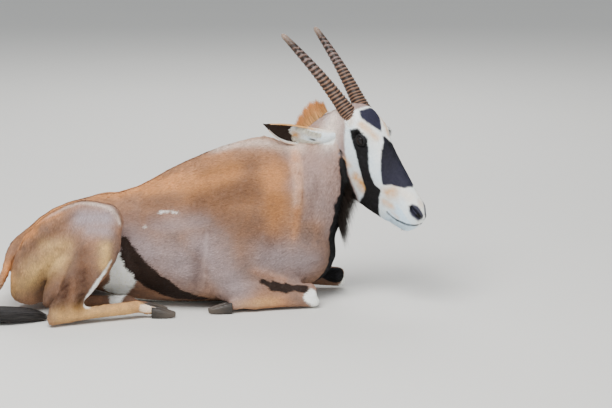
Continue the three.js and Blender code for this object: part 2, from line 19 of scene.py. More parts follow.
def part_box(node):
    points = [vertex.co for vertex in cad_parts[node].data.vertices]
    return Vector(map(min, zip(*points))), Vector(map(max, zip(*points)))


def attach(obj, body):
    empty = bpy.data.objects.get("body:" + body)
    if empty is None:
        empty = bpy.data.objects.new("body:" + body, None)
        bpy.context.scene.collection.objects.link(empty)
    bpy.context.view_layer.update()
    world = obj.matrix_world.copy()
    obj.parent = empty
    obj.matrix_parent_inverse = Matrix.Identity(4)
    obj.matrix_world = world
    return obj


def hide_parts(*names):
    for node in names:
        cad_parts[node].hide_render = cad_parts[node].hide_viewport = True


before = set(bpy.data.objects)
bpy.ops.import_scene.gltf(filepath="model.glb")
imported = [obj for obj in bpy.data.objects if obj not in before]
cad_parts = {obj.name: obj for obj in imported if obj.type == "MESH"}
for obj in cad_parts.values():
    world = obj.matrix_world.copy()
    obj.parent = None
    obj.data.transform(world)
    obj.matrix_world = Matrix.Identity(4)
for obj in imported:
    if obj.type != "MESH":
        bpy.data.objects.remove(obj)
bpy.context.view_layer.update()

logging.basicConfig(level=logging.INFO, format="%(message)s")
log = logging.getLogger("gemsbok")

MM = 0.001
Row = tuple[float, ...]
Points = np.ndarray


class Side(Enum):
    """The animal's right and left, with the sign of y on each."""

    RIGHT = -1
    LEFT = 1

    @property
    def word(self) -> str:
        """The side's word in the names of the nodes."""
        return self.name.lower()


class Flow(Enum):
    """Where hair comes from on a part and where it runs to, in millimetres."""

    TORSO = ((300, 0, 330), (-450, 0, 110))
    NECK = ((424, 30, 494), (262, 0, 240))
    THIGH_RIGHT = ((-330, -120, 300), (-340, -190, 90))
    THIGH_LEFT = ((-400, 120, 190), (-240, 190, 40))
    SHANK_RIGHT = ((-228, -172, 266), (-376, -284, 33))
    SHANK_LEFT = ((-215, 168, 66), (-378, -80, 27))
    HIND_CANNON_RIGHT = ((-384, -288, 27), (-142, -210, 31))
    HIND_CANNON_LEFT = ((-384, -92, 26), (-166, -148, 29))
    HIND_PASTERN_RIGHT = ((-142, -210, 31), (-112, -210, 19))
    HIND_PASTERN_LEFT = ((-166, -148, 29), (-132, -156, 19))
    FOREARM_RIGHT = ((84, -142, 70), (322, -124, 38))
    FOREARM_LEFT = ((180, 118, 70), (418, 62, 38))
    FORE_CANNON_RIGHT = ((332, -140, 20), (138, -172, 20))
    FORE_CANNON_LEFT = ((428, 78, 20), (232, 118, 20))
    FORE_PASTERN_RIGHT = ((138, -172, 20), (98, -178, 18))
    FORE_PASTERN_LEFT = ((232, 118, 20), (192, 126, 18))
    TAIL_DOCK = ((-440, 38, 186), (-554, -146, 46))


# Numbers and shapes


def smoothstep(low: float, high: float, value: Points) -> Points:
    """A smooth rise from 0 at low to 1 at high."""
    t = np.clip((value - low) / (high - low), 0, 1)
    return t * t * (3 - 2 * t)


def unit(rows: Points) -> Points:
    """Each row scaled to length 1."""
    return rows / np.maximum(np.linalg.norm(rows, axis=-1, keepdims=True), 1e-9)


def through(values: Sequence[float], t: Points | float) -> Points:
    """A smooth run of numbers through the given ones.

    Args:
        values: the numbers, evenly spread over t from 0 to 1.
        t: where to read the run.

    Returns:
        The run's value at each t.
    """
    numbers = np.asarray(values, float)
    span = np.clip(np.asarray(t, float), 0, 1) * (len(numbers) - 1)
    i = np.minimum(span.astype(int), len(numbers) - 2)
    f = span - i
    a, b = numbers[np.maximum(i - 1, 0)], numbers[i]
    c, d = numbers[i + 1], numbers[np.minimum(i + 2, len(numbers) - 1)]
    return b + 0.5 * f * (c - a + f * (2 * a - 5 * b + 4 * c - d + f * (3 * (b - c) + d - a)))


def segment_distance(points: Points, start: Row, end: Row) -> Points:
    """How far each point lies from the straight line between two places."""
    a, b = np.asarray(start, float), np.asarray(end, float)
    along = b - a
    t = np.clip((points - a) @ along / max(along @ along, 1e-9), 0, 1)
    return np.linalg.norm(points - a - t[:, None] * along, axis=1)


def path_distance(points: Points, path: Sequence[Row]) -> tuple[Points, Points]:
    """How far each point lies from a bent line, and how far along the line its nearest place is.

    Args:
        points: places, one a row.
        path: the line's corners.

    Returns:
        The distances, and the shares of the line's corners, from 0 to 1.
    """
    best = np.full(len(points), 1e9)
    share = np.zeros(len(points))
    for i, (start, end) in enumerate(zip(path, path[1:])):
        a, along = np.asarray(start, float), np.subtract(end, start).astype(float)
        t = np.clip((points - a) @ along / (along @ along), 0, 1)
        far = np.linalg.norm(points - a - t[:, None] * along, axis=1)
        nearer = far < best
        best[nearer] = far[nearer]
        share[nearer] = (i + t[nearer]) / (len(path) - 1)
    return best, share


def inside_distance(points: Points, corners: Sequence[Row]) -> Points:
    """How far each flat point lies inside an outline, and below zero how far outside.

    Args:
        points: two numbers a row.
        corners: the outline's corners, in order.

    Returns:
        One signed distance for each point.
    """
    outline = np.asarray(corners, float)
    far = np.full(len(points), 1e9)
    inside = np.zeros(len(points), bool)
    x, y = points[:, 0], points[:, 1]
    for a, b in zip(outline, np.roll(outline, -1, axis=0)):
        along = b - a
        t = np.clip((points - a) @ along / max(along @ along, 1e-9), 0, 1)
        far = np.minimum(far, np.linalg.norm(points - a - t[:, None] * along, axis=1))
        crosses = (a[1] > y) != (b[1] > y)
        rise = along[1] if abs(along[1]) > 1e-9 else 1e-9
        inside ^= crosses & (x < a[0] + (y - a[1]) * along[0] / rise)
    return np.where(inside, far, -far)


def wander(points: Points, size: float) -> Points:
    """A smooth, uneven pattern from about -1 to 1, with spots of the given size in millimetres."""
    k = 2 * math.pi / size
    x, y, z = (points * k).T
    first = np.sin(0.8 * x + 0.5 * y + 1.3 * np.sin(0.45 * z + 0.3 * x))
    second = np.sin(0.7 * z - 0.6 * y + 1.1 * np.sin(0.5 * x - 0.4 * y + 2))
    return 0.6 * first * second + 0.4 * np.sin(1.7 * x + 1.3 * z + first)


def soft(points: Points, rows: Iterable[Row]) -> Points:
    """How strong a tint is at each place.

    Args:
        points: places in millimetres.
        rows: six numbers for the two ends of a line, one for its reach and one for its strength.

    Returns:
        A number from 0 to 1 for each place.
    """
    made = [row[7] * np.exp(-((segment_distance(points, row[:3], row[3:6]) / row[6]) ** 2)) for row in rows]
    return np.max(made, axis=0)


@dataclass
class Tube:
    """A smooth body through sections, each with a place, a rise, a depth and a half width.

    Args:
        stations: rows of x, y, z, up, down and half width.
        lean: the direction that the sections' tops face.
        square: how square the upper half is.
    """

    stations: tuple[Row, ...]
    lean: Row = (0, 0, 1)
    square: float = 2

    def sizes(self, t: float) -> Points:
        """The place and the sizes at t."""
        return np.array([through([row[k] for row in self.stations], t) for k in range(6)])

    def axes(self, t: float) -> tuple[Points, Points, Points]:
        """The directions along, sideways and up at t."""
        along = unit(self.sizes(min(t + 0.01, 1))[:3] - self.sizes(max(t - 0.01, 0))[:3])
        side = unit(np.cross(along, self.lean))
        return along, side, np.cross(side, along)

    def on(self, t: float, angle: float, scale: float = 1) -> Points:
        """A place on the surface, the angle counted from the top towards the right."""
        x, y, z, up, down, half = self.sizes(t)
        _, side, top = self.axes(t)
        c, n = math.cos(angle), math.sin(angle)
        power = 2 / (self.square if c > 0 else 2)
        rise = math.copysign(abs(c) ** power, c) * (up if c > 0 else down) * scale
        reach = math.copysign(abs(n) ** power, n) * half * scale
        return np.array([x, y, z]) + rise * top + reach * side

    def out(self, t: float, angle: float) -> Points:
        """The direction away from the middle at t."""
        return unit(self.on(t, angle) - self.sizes(t)[:3])

    def all_on(self, t: Points, angle: Points, scale: Points | float = 1) -> Points:
        """Places on the surface, one for each t and angle."""
        return np.array([self.on(*spot) for spot in np.broadcast(t, angle, scale)])

    def all_out(self, t: Points, angle: Points) -> Points:
        """The direction away from the middle, for each t and angle."""
        return np.array([self.out(*spot) for spot in zip(t, angle)])

    def rows(self, steps: int, count: int, scale: float = 1) -> Points:
        """Rings of places, closed on themselves and rounded off at both ends."""
        turn = [2 * math.pi * k / count for k in range(count + 1)]
        rings = []
        for t, push, shrink in (
            *((0, -0.9, 0.25), (0, -0.6, 0.7)),
            *((i / steps, 0, 1) for i in range(steps + 1)),
            *((1, 0.6, 0.7), (1, 0.9, 0.25)),
        ):
            along = self.axes(t)[0] * push * min(self.sizes(t)[3:6]) * 0.5
            rings.append([self.on(t, a, scale * shrink) + along for a in turn])
        return np.array(rings)


# The head's own frame lies midway between the horn roots, and its x runs down the face
HEAD_PLACE = np.array([459.0, -25.0, 527.0])
HEAD_TURN = np.array(
    (
        Matrix.Rotation(math.radians(-40), 3, "Z")
        @ Matrix.Rotation(math.radians(49.3), 3, "Y")
        @ Matrix.Rotation(math.radians(5), 3, "X")
    )
)
FACE_MIDDLE = -50.0  # the height of the line that angles round the face are measured from
DEGREE = 0.9  # millimetres of skin in one degree round the face


def to_head(points: Points) -> Points:
    """Places in the row frame, in millimetres, as places in the head's own frame."""
    return (points - HEAD_PLACE) @ HEAD_TURN


def to_half_head(points: Points) -> Points:
    """Places in the head's own frame with y counted outwards, so that both halves are one."""
    place = to_head(points)
    place[:, 1] = np.abs(place[:, 1])
    return place


def from_head(points: Points | Row) -> Points:
    """Places in the head's own frame as places in the row frame, in millimetres."""
    return np.asarray(points, float) @ HEAD_TURN.T + HEAD_PLACE


def nearest(cloud: Points, places: Points) -> Points:
    """The number of the cloud's point that is nearest to each place."""
    tree = KDTree(len(cloud))
    for number, point in enumerate(cloud):
        tree.insert(point, number)
    tree.balance()
    return np.array([tree.find(Vector(place))[1] for place in places])


NECK = Tube(
    (
        (262, 0, 268, 140, 165, 96),
        (306, 0, 292, 140, 158, 96),
        (346, 3, 330, 136, 98, 87),
        (368, 8, 372, 130, 74, 76),
        (384, 14, 412, 106, 62, 66),
        (398, 20, 446, 80, 54, 58),
        (412, 26, 474, 60, 46, 52),
        (424, 30, 494, 46, 38, 46),
    ),
    lean=(-1, 0, 0.35),
    square=1.8,
)
TUFT = Tube(
    (
        (-555, -146, 44, 13, 13, 13),
        (-572, -190, 34, 19, 19, 22),
        (-560, -228, 27, 21, 21, 32),
        (-515, -240, 25, 21, 20, 33),
        (-465, -231, 21, 19, 16, 27),
        (-425, -221, 16, 14, 12, 19),
        (-396, -214, 8, 6, 5, 8),
    )
)
CALF = Tube(
    (
        (-318, -172, 152, 38, 38, 40),
        (-348, -186, 112, 40, 40, 42),
        (-372, -194, 78, 36, 36, 40),
        (-392, -196, 50, 25, 25, 32),
        (-404, -192, 32, 14, 14, 18),
    )
)


# Meshes


def alone(thing: bpy.types.Object) -> bpy.types.Object:
    """Deselects everything, then selects one object and makes it active."""
    bpy.ops.object.select_all(action="DESELECT")
    thing.select_set(True)
    bpy.context.view_layer.objects.active = thing
    return thing


def fresh(name: str) -> bpy.types.Object:
    """Names the new primitive, which is the active object."""
    thing = bpy.context.view_layer.objects.active
    thing.name = name
    thing.data.name = name
    return thing


def apply(thing: bpy.types.Object, kind: str, **settings: object) -> None:
    """Adds a modifier to an object and applies it."""
    alone(thing)
    modifier = thing.modifiers.new(kind.lower(), kind)
    for key, value in settings.items():
        setattr(modifier, key, value)
    bpy.ops.object.modifier_apply(modifier=modifier.name)


def edit(thing: bpy.types.Object, *steps: Callable[[], object]) -> None:
    """Runs steps in edit mode on one object, with everything selected."""
    alone(thing)
    bpy.ops.object.mode_set(mode="EDIT")
    bpy.ops.mesh.select_all(action="SELECT")
    for step in steps:
        step()
    bpy.ops.object.mode_set(mode="OBJECT")


def finished(thing: bpy.types.Object, finish: bpy.types.Material) -> bpy.types.Object:
    """Shades a piece smoothly and gives it its material."""
    alone(thing)
    bpy.ops.object.shade_smooth()
    thing.data.materials.append(finish)
    return thing


def points_of(thing: bpy.types.Object) -> Points:
    """The vertices of a mesh, in millimetres."""
    flat = np.empty(len(thing.data.vertices) * 3)
    thing.data.vertices.foreach_get("co", flat)
    return flat.reshape(-1, 3) / MM


def place_points(thing: bpy.types.Object, points: Points) -> None:
    """Moves the vertices of a mesh to the given places, in millimetres."""
    thing.data.vertices.foreach_set("co", (points * MM).ravel())
    thing.data.update()


def edges_of(thing: bpy.types.Object) -> Points:
    """The pairs of vertices that share an edge."""
    flat = np.empty(len(thing.data.edges) * 2, int)
    thing.data.edges.foreach_get("vertices", flat)
    return flat.reshape(-1, 2)


def normals_of(thing: bpy.types.Object) -> Points:
    """The direction that each vertex of a mesh faces."""
    flat = np.empty(len(thing.data.vertices) * 3)
    thing.data.vertex_normals.foreach_get("vector", flat)
    return unit(flat.reshape(-1, 3))


def triangles_of(thing: bpy.types.Object) -> tuple[Points, Points]:
    """The mesh's triangles as three vertices and as three face corners each."""
    thing.data.calc_loop_triangles()
    count = len(thing.data.loop_triangles)
    vertices, loops = np.empty(count * 3, np.int32), np.empty(count * 3, np.int32)
    thing.data.loop_triangles.foreach_get("vertices", vertices)
    thing.data.loop_triangles.foreach_get("loops", loops)
    return vertices.reshape(-1, 3), loops.reshape(-1, 3)


def give(thing: bpy.types.Object, name: str, values: Points) -> None:
    """Stores one number on each vertex of a mesh under a name."""
    layer = thing.data.attributes.new(name, "FLOAT", "POINT")
    layer.data.foreach_set("value", np.ascontiguousarray(values, np.float32))


def sheet(name: str, rows: Points) -> bpy.types.Object:
    """A grid whose corners are moved to closed rings of places, with both ends filled.

    Args:
        name: the piece's name.
        rows: places in millimetres, as rings of points.

    Returns:
        The piece, its faces pointing outwards.
    """
    rings, count = rows.shape[:2]
    bpy.ops.object.select_all(action="DESELECT")
    bpy.ops.mesh.primitive_grid_add(x_subdivisions=count - 1, y_subdivisions=rings - 1)
    thing = fresh(name)
    place_points(thing, rows.reshape(-1, 3))
    edit(
        thing,
        lambda: bpy.ops.mesh.remove_doubles(threshold=1e-5),
        lambda: bpy.ops.mesh.fill_holes(sides=0),
        lambda: bpy.ops.mesh.normals_make_consistent(inside=False),
    )
    return thing


def relaxed(points: Points, edges: Points, strength: Points, rounds: int, back: float = -0.515) -> Points:
    """Evens out a surface without shrinking it.

    Args:
        points: the vertices.
        edges: the pairs that share an edge.
        strength: how much each vertex takes part, from 0 to 1.
        rounds: how many times each vertex moves towards its neighbours and back.
        back: the backward step, against a forward step of 0.5.

    Returns:
        The moved vertices.
    """
    a, b = edges.T
    count = len(points)
    shared = np.maximum(np.bincount(a, minlength=count) + np.bincount(b, minlength=count), 1)[:, None]
    for step in (0.5, back) * rounds:
        around = np.stack(
            [np.bincount(a, points[b, k], count) + np.bincount(b, points[a, k], count) for k in range(points.shape[1])],
            axis=1,
        )
        points = points + step * strength[:, None] * (around / shared - points)
    return points


def blurred(thing: bpy.types.Object, values: Points, rounds: int) -> Points:
    """Vertex values evened out over a mesh, round by round."""
    rows = values.reshape(len(values), -1)
    return relaxed(rows, edges_of(thing), np.ones(len(rows)), rounds, back=0.5).reshape(values.shape)


def joined(name: str, things: Sequence[bpy.types.Object]) -> bpy.types.Object:
    """Joins objects into the first one."""
    alone(things[0])
    for thing in things:
        thing.select_set(True)
    bpy.ops.object.join()
    return fresh(name)


def closed_copy(node: str, swell: float) -> bpy.types.Object:
    """A merged copy of a solid, swollen a little.

    Args:
        node: the solid's name.
        swell: how far its surface moves out, in millimetres.

    Returns:
        The copy, as an object of its own.
    """
    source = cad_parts[node]
    thing = bpy.data.objects.new(node + "_copy", source.data.copy())
    bpy.context.scene.collection.objects.link(thing)
    edit(thing, lambda: bpy.ops.mesh.remove_doubles(threshold=2e-5))
    place_points(thing, points_of(thing) + swell * normals_of(thing))
    thing.data.materials.clear()
    return thing


def refine(thing: bpy.types.Object, chosen: Callable[[Points], Points]) -> None:
    """Splits the faces whose middles are chosen into four.

    Args:
        thing: the piece.
        chosen: says for each place, in millimetres, whether its face is split.
    """
    mesh = thing.data
    middles = np.empty(len(mesh.polygons) * 3)
    mesh.polygons.foreach_get("center", middles)
    picked = chosen(middles.reshape(-1, 3) / MM)
    alone(thing)
    bpy.ops.object.mode_set(mode="EDIT")
    bpy.ops.mesh.select_mode(type="FACE")
    bpy.ops.mesh.select_all(action="DESELECT")
    bpy.ops.object.mode_set(mode="OBJECT")
    mesh.polygons.foreach_set("select", picked)
    bpy.ops.object.mode_set(mode="EDIT")
    bpy.ops.mesh.subdivide(number_cuts=1)
    bpy.ops.object.mode_set(mode="OBJECT")


# Finishes


def linear(red: float, green: float, blue: float) -> Row:
    """A screen colour from 0 to 255 as the light that Blender works in."""
    parts = [c / 255 for c in (red, green, blue)]
    return (*(c / 12.92 if c <= 0.04045 else ((c + 0.055) / 1.055) ** 2.4 for c in parts), 1.0)


class Wire:
    """A socket that carries numbers, with the arithmetic of Python.

    Args:
        graph: the material that it belongs to.
        socket: the socket that gives the numbers.
    """

    def __init__(self, graph: "Graph", socket: bpy.types.NodeSocket) -> None:
        """Keeps the material and the socket."""
        self.graph = graph
        self.socket = socket

    def _with(self, operation: str, first: object, second: object) -> "Wire":
        """A Math node on two values."""
        node = self.graph.node("ShaderNodeMath", {"operation": operation}, {0: first, 1: second})
        return Wire(self.graph, node.outputs[0])

    def __add__(self, other: object) -> "Wire":
        """Sum."""
        return self._with("ADD", self, other)

    def __radd__(self, other: object) -> "Wire":
        """Sum, from the right."""
        return self._with("ADD", other, self)

    def __sub__(self, other: object) -> "Wire":
        """Difference."""
        return self._with("SUBTRACT", self, other)

    def __rsub__(self, other: object) -> "Wire":
        """Difference, from the right."""
        return self._with("SUBTRACT", other, self)

    def __mul__(self, other: object) -> "Wire":
        """Product."""
        return self._with("MULTIPLY", self, other)

    def __rmul__(self, other: object) -> "Wire":
        """Product, from the right."""
        return self._with("MULTIPLY", other, self)

    def rise(self, low: float, high: float) -> "Wire":
        """A smooth rise from 0 at low to 1 at high."""
        settings = {"interpolation_type": "SMOOTHSTEP"}
        node = self.graph.node("ShaderNodeMapRange", settings, {"Value": self, "From Min": low, "From Max": high})
        return Wire(self.graph, node.outputs[0])


class Graph:
    """A material's nodes, built from Python.

    Args:
        name: the material's name.
    """

    def __init__(self, name: str) -> None:
        """Makes the material with its one shader."""
        self.material = bpy.data.materials.new(name)
        self.material.use_nodes = True
        self.tree = self.material.node_tree
        self.shader = self.tree.nodes["Principled BSDF"]
        self.place = self.node("ShaderNodeTexCoord", {}, {}).outputs["Object"]

    def node(self, kind: str, settings: dict[str, object], values: dict[str | int, object]) -> bpy.types.Node:
        """Adds a node.

        Args:
            kind: the node's type.
            settings: its own settings, set first.
            values: the values or links of its sockets, by name or number.

        Returns:
            The node.
        """
        node = self.tree.nodes.new(kind)
        for key, value in settings.items():
            setattr(node, key, value)
        for key, value in values.items():
            self.feed(node.inputs[key], value)
        return node

    def feed(self, socket: bpy.types.NodeSocket, value: object) -> None:
        """Links or sets a socket."""
        if isinstance(value, Wire):
            value = value.socket
        if isinstance(value, bpy.types.NodeSocket):
            self.tree.links.new(value, socket)
        else:
            socket.default_value = value

    def attribute(self, name: str) -> Wire:
        """The number that the mesh stores under a name."""
        node = self.node("ShaderNodeAttribute", {"attribute_name": name}, {})
        return Wire(self, node.outputs["Fac"])

    def noise(self, size: float, detail: float = 2, stretch: Row = (1, 1, 1)) -> Wire:
        """A cloudy pattern around 0.

        Args:
            size: the size of its spots, in millimetres.
            detail: how many finer layers it has.
            stretch: how much longer the spots are along each axis.

        Returns:
            Numbers from about -0.5 to 0.5.
        """
        scale = tuple(1 / s for s in stretch)
        place = self.node("ShaderNodeMapping", {}, {"Vector": self.place, "Scale": scale})
        values = {"Vector": place.outputs[0], "Scale": 1000 / size, "Detail": detail, "Roughness": 0.55}
        return Wire(self, self.node("ShaderNodeTexNoise", {}, values).outputs[0]) - 0.5

    def mix(self, first: object, second: object, share: object) -> bpy.types.NodeSocket:
        """Two colours mixed by a share."""
        settings = {"data_type": "RGBA", "clamp_factor": True}
        node = self.node("ShaderNodeMix", settings, {0: share, 6: first, 7: second})
        return node.outputs[2]

    def shaded(self, colour: object, change: Wire) -> bpy.types.NodeSocket:
        """A colour made lighter or darker by a number around 0."""
        node = self.node("ShaderNodeHueSaturation", {}, {"Color": colour, "Value": change + 1})
        return node.outputs[0]

    def bump(self, height: Wire, distance: float, strength: float = 1) -> None:
        """Roughens the surface by a height pattern.

        Args:
            height: the pattern.
            distance: how high a rise of 1 stands, in millimetres.
            strength: how much of it shows.
        """
        values = {"Height": height, "Distance": distance * MM, "Strength": strength}
        node = self.node("ShaderNodeBump", {}, values)
        self.feed(self.shader.inputs["Normal"], node.outputs[0])

    def finish(self, **values: object) -> bpy.types.Material:
        """Sets the shader's own sockets, named with underscores, and returns the material."""
        for key, value in values.items():
            self.feed(self.shader.inputs[key.replace("_", " ")], value)
        return self.material


@dataclass(frozen=True)
class HideFinish:
    """The colours of the hide and the coat, from the body's to the markings'."""

    name: str
    hair: bool
    body: Row = linear(130, 101, 84)
    warm: Row = linear(206, 142, 88)
    # Brown: the coat's own brown along the spine and on the shoulder, and painted shade on the shank under the haunch
    # and in a groove of the neck.
    brown: Row = linear(56, 27, 8)
    lilac: Row = linear(160, 145, 147)
    cream: Row = linear(212, 174, 114)
    # Painted highlight: a pale colour on the top of the back, on a raised fold of the neck and on the rim of the
    # haunch, where light falls; by each ear's root it is pale hair.
    highlight_and_pale_hair: Row = linear(238, 222, 210)
    white: Row = linear(252, 252, 246)
    cool: Row = linear(212, 234, 248)
    tan: Row = linear(228, 174, 102)
    dark: Row = linear(12, 11, 12)
    # Bluish black: the tone of the black on the brow and the ridge of the nose, and a painted wet sheen on the bare
    # skin round the nostrils.
    blue_black_and_sheen: Row = linear(46, 45, 64)
    umber: Row = linear(40, 25, 17)
    roughness: float = 0.78

    def material(self) -> bpy.types.Material:
        """The material, which reads the markings from the mesh."""
        g = Graph(self.name)
        broad = g.noise(70, 3)
        middle = g.noise(16, 3)
        fine = g.noise(2.6, 2)
        colour = g.mix(self.body, self.warm, g.attribute("warm") + broad * 0.9 + middle * 0.5)
        colour = g.mix(colour, self.lilac, g.attribute("lilac") + middle * 0.25)
        colour = g.mix(colour, self.cream, g.attribute("cream") * (middle * 1.4 + 1))
        # Brown, partly painted shade under the haunch and in a groove of the neck.
        colour = g.mix(colour, self.brown, g.attribute("brown") * (middle * 1.2 + broad * 0.6 + 1))
        # Painted highlight on the lit top of the back, the neck's fold and the haunch's rim, and pale hair at the ears'
        # roots.
        colour = g.mix(colour, self.highlight_and_pale_hair, g.attribute("highlight_and_pale_hair") * (middle + 1))
        edge = middle * 9 + fine * 5
        pale = g.mix(self.white, self.cool, g.attribute("cool") + middle * 0.6)
        colour = g.mix(colour, pale, (g.attribute("white") + edge * 0.6).rise(-4, 4))
        colour = g.mix(colour, self.tan, g.attribute("blush") + g.attribute("blush") * middle * 1.6)
        # The bluish black gives the brow and the nose their tone, and paints a wet sheen on the nostrils' skin.
        black = g.mix(self.dark, self.blue_black_and_sheen, g.attribute("blue_black_and_sheen") + middle * 0.6)
        black = g.mix(black, self.umber, g.attribute("umber") + middle * 0.4)
        colour = g.mix(colour, black, (g.attribute("mark") + edge * 0.45).rise(-2.4, 2.4))
        change = fine * 0.35 + g.noise(7, 2) * 0.22
        if self.hair:
            change = change + (g.attribute("shade") - 0.5) * 0.42 + g.attribute("tip") * 0.16
        else:
            g.bump(g.noise(1.6, 2) + g.noise(6, 2) * 0.8, 0.9, 0.7)
        colour = g.shaded(colour, change)
        if self.hair:
            return g.finish(Base_Color=colour, Roughness=self.roughness, Specular_IOR_Level=0.3)
        return g.finish(Base_Color=colour, Roughness=self.roughness - g.attribute("moist") * 0.4)


@dataclass(frozen=True)
class HairFinish:
    """The colours of long hair, from its roots to its tips."""

    name: str
    root: Row
    tip: Row
    roughness: float = 0.62

    def material(self) -> bpy.types.Material:
        """The material, which reads each hair's shade and the way along it from the mesh."""
        g = Graph(self.name)
        colour = g.mix(self.root, self.tip, g.attribute("tip") + g.noise(12, 2) * 0.5)
        colour = g.shaded(colour, (g.attribute("shade") - 0.5) * 0.7 + g.noise(3, 2) * 0.3)
        return g.finish(Base_Color=colour, Roughness=self.roughness, Specular_IOR_Level=0.35)


@dataclass(frozen=True)
class HornFinish:
    """Horn with dark grooves between worn rings, a painted highlight on the ridges of its upper half and a smooth grey
    tip.
    """

    name: str = "ringed_horn"
    ridge: Row = linear(132, 98, 76)
    groove: Row = linear(30, 18, 13)
    smooth: Row = linear(140, 118, 104)
    # Painted highlight: the purple-grey on the ridges of the upper half.
    grey: Row = linear(122, 108, 110)

    def material(self) -> bpy.types.Material:
        """The material, which reads the rings from the mesh."""
        g = Graph(self.name)
        along = g.attribute("along")
        streak = g.noise(2.2, 3)
        worn = g.attribute("ring") + g.noise(9, 3) * 0.9 + streak * 0.35
        ringed = g.mix(self.groove, self.ridge, worn.rise(0.0, 1.0))
        # Painted highlight on the upper ridges.
        ringed = g.mix(ringed, self.grey, (along + g.noise(30, 2) * 0.5).rise(0.3, 0.8) * worn.rise(0.3, 0.9))
        colour = g.mix(ringed, self.smooth, (along + g.noise(14, 2) * 0.12).rise(0.84, 0.98))
        colour = g.shaded(colour, g.noise(5, 3) * 0.4)
        g.bump(streak + g.noise(7, 3), 0.5, 0.7)
        return g.finish(Base_Color=colour, Roughness=0.5 + g.noise(12, 2) * 0.25, Specular_IOR_Level=0.4)


@dataclass(frozen=True)
class HoofFinish:
    """Hoof horn with growth lines, dark at the top and worn pale towards the tip."""

    name: str = "hoof_horn"
    dark: Row = linear(38, 32, 28)
    pale: Row = linear(82, 72, 62)

    def material(self) -> bpy.types.Material:
        """The material, which reads the wear from the mesh."""
        g = Graph(self.name)
        lines = g.noise(3, 2, (6, 6, 0.6))
        colour = g.mix(self.dark, self.pale, g.attribute("worn") + g.noise(14, 3) * 0.7 + lines * 0.35)
        g.bump(lines + g.noise(2, 2) * 0.4, 0.5, 0.6)
        return g.finish(Base_Color=g.shaded(colour, g.noise(4, 2) * 0.3), Roughness=0.5 + lines * 0.2)


@dataclass(frozen=True)
class EyeFinish:
    """A dark brown eye with a long pupil under a wet, clear front."""

    name: str = "wet_eye"
    pupil: Row = linear(5, 6, 12)
    iris: Row = linear(20, 12, 9)
    rim: Row = linear(12, 10, 11)

    def material(self) -> bpy.types.Material:
        """The material, which reads the rings of the eye from the mesh."""
        g = Graph(self.name)
        colour = g.mix(self.iris, self.pupil, g.attribute("pupil").rise(-0.08, 0.08))
        colour = g.mix(colour, self.rim, (g.attribute("iris") + g.noise(2, 2) * 0.15).rise(0.8, 1.0))
        colour = g.shaded(colour, g.noise(1.2, 3) * 0.5)
        return g.finish(Base_Color=colour, Roughness=0.5, Specular_IOR_Level=0.2, Coat_Weight=0.3, Coat_Roughness=0.05)


@dataclass(frozen=True)
class FloorFinish:
    """A plain pale floor."""

    name: str = "pale_floor"
    tone: Row = linear(222, 220, 214)

    def material(self) -> bpy.types.Material:
        """The material, with a faint unevenness."""
        g = Graph(self.name)
        return g.finish(Base_Color=g.shaded(self.tone, g.noise(900, 2) * 0.04), Roughness=0.85)


# Markings


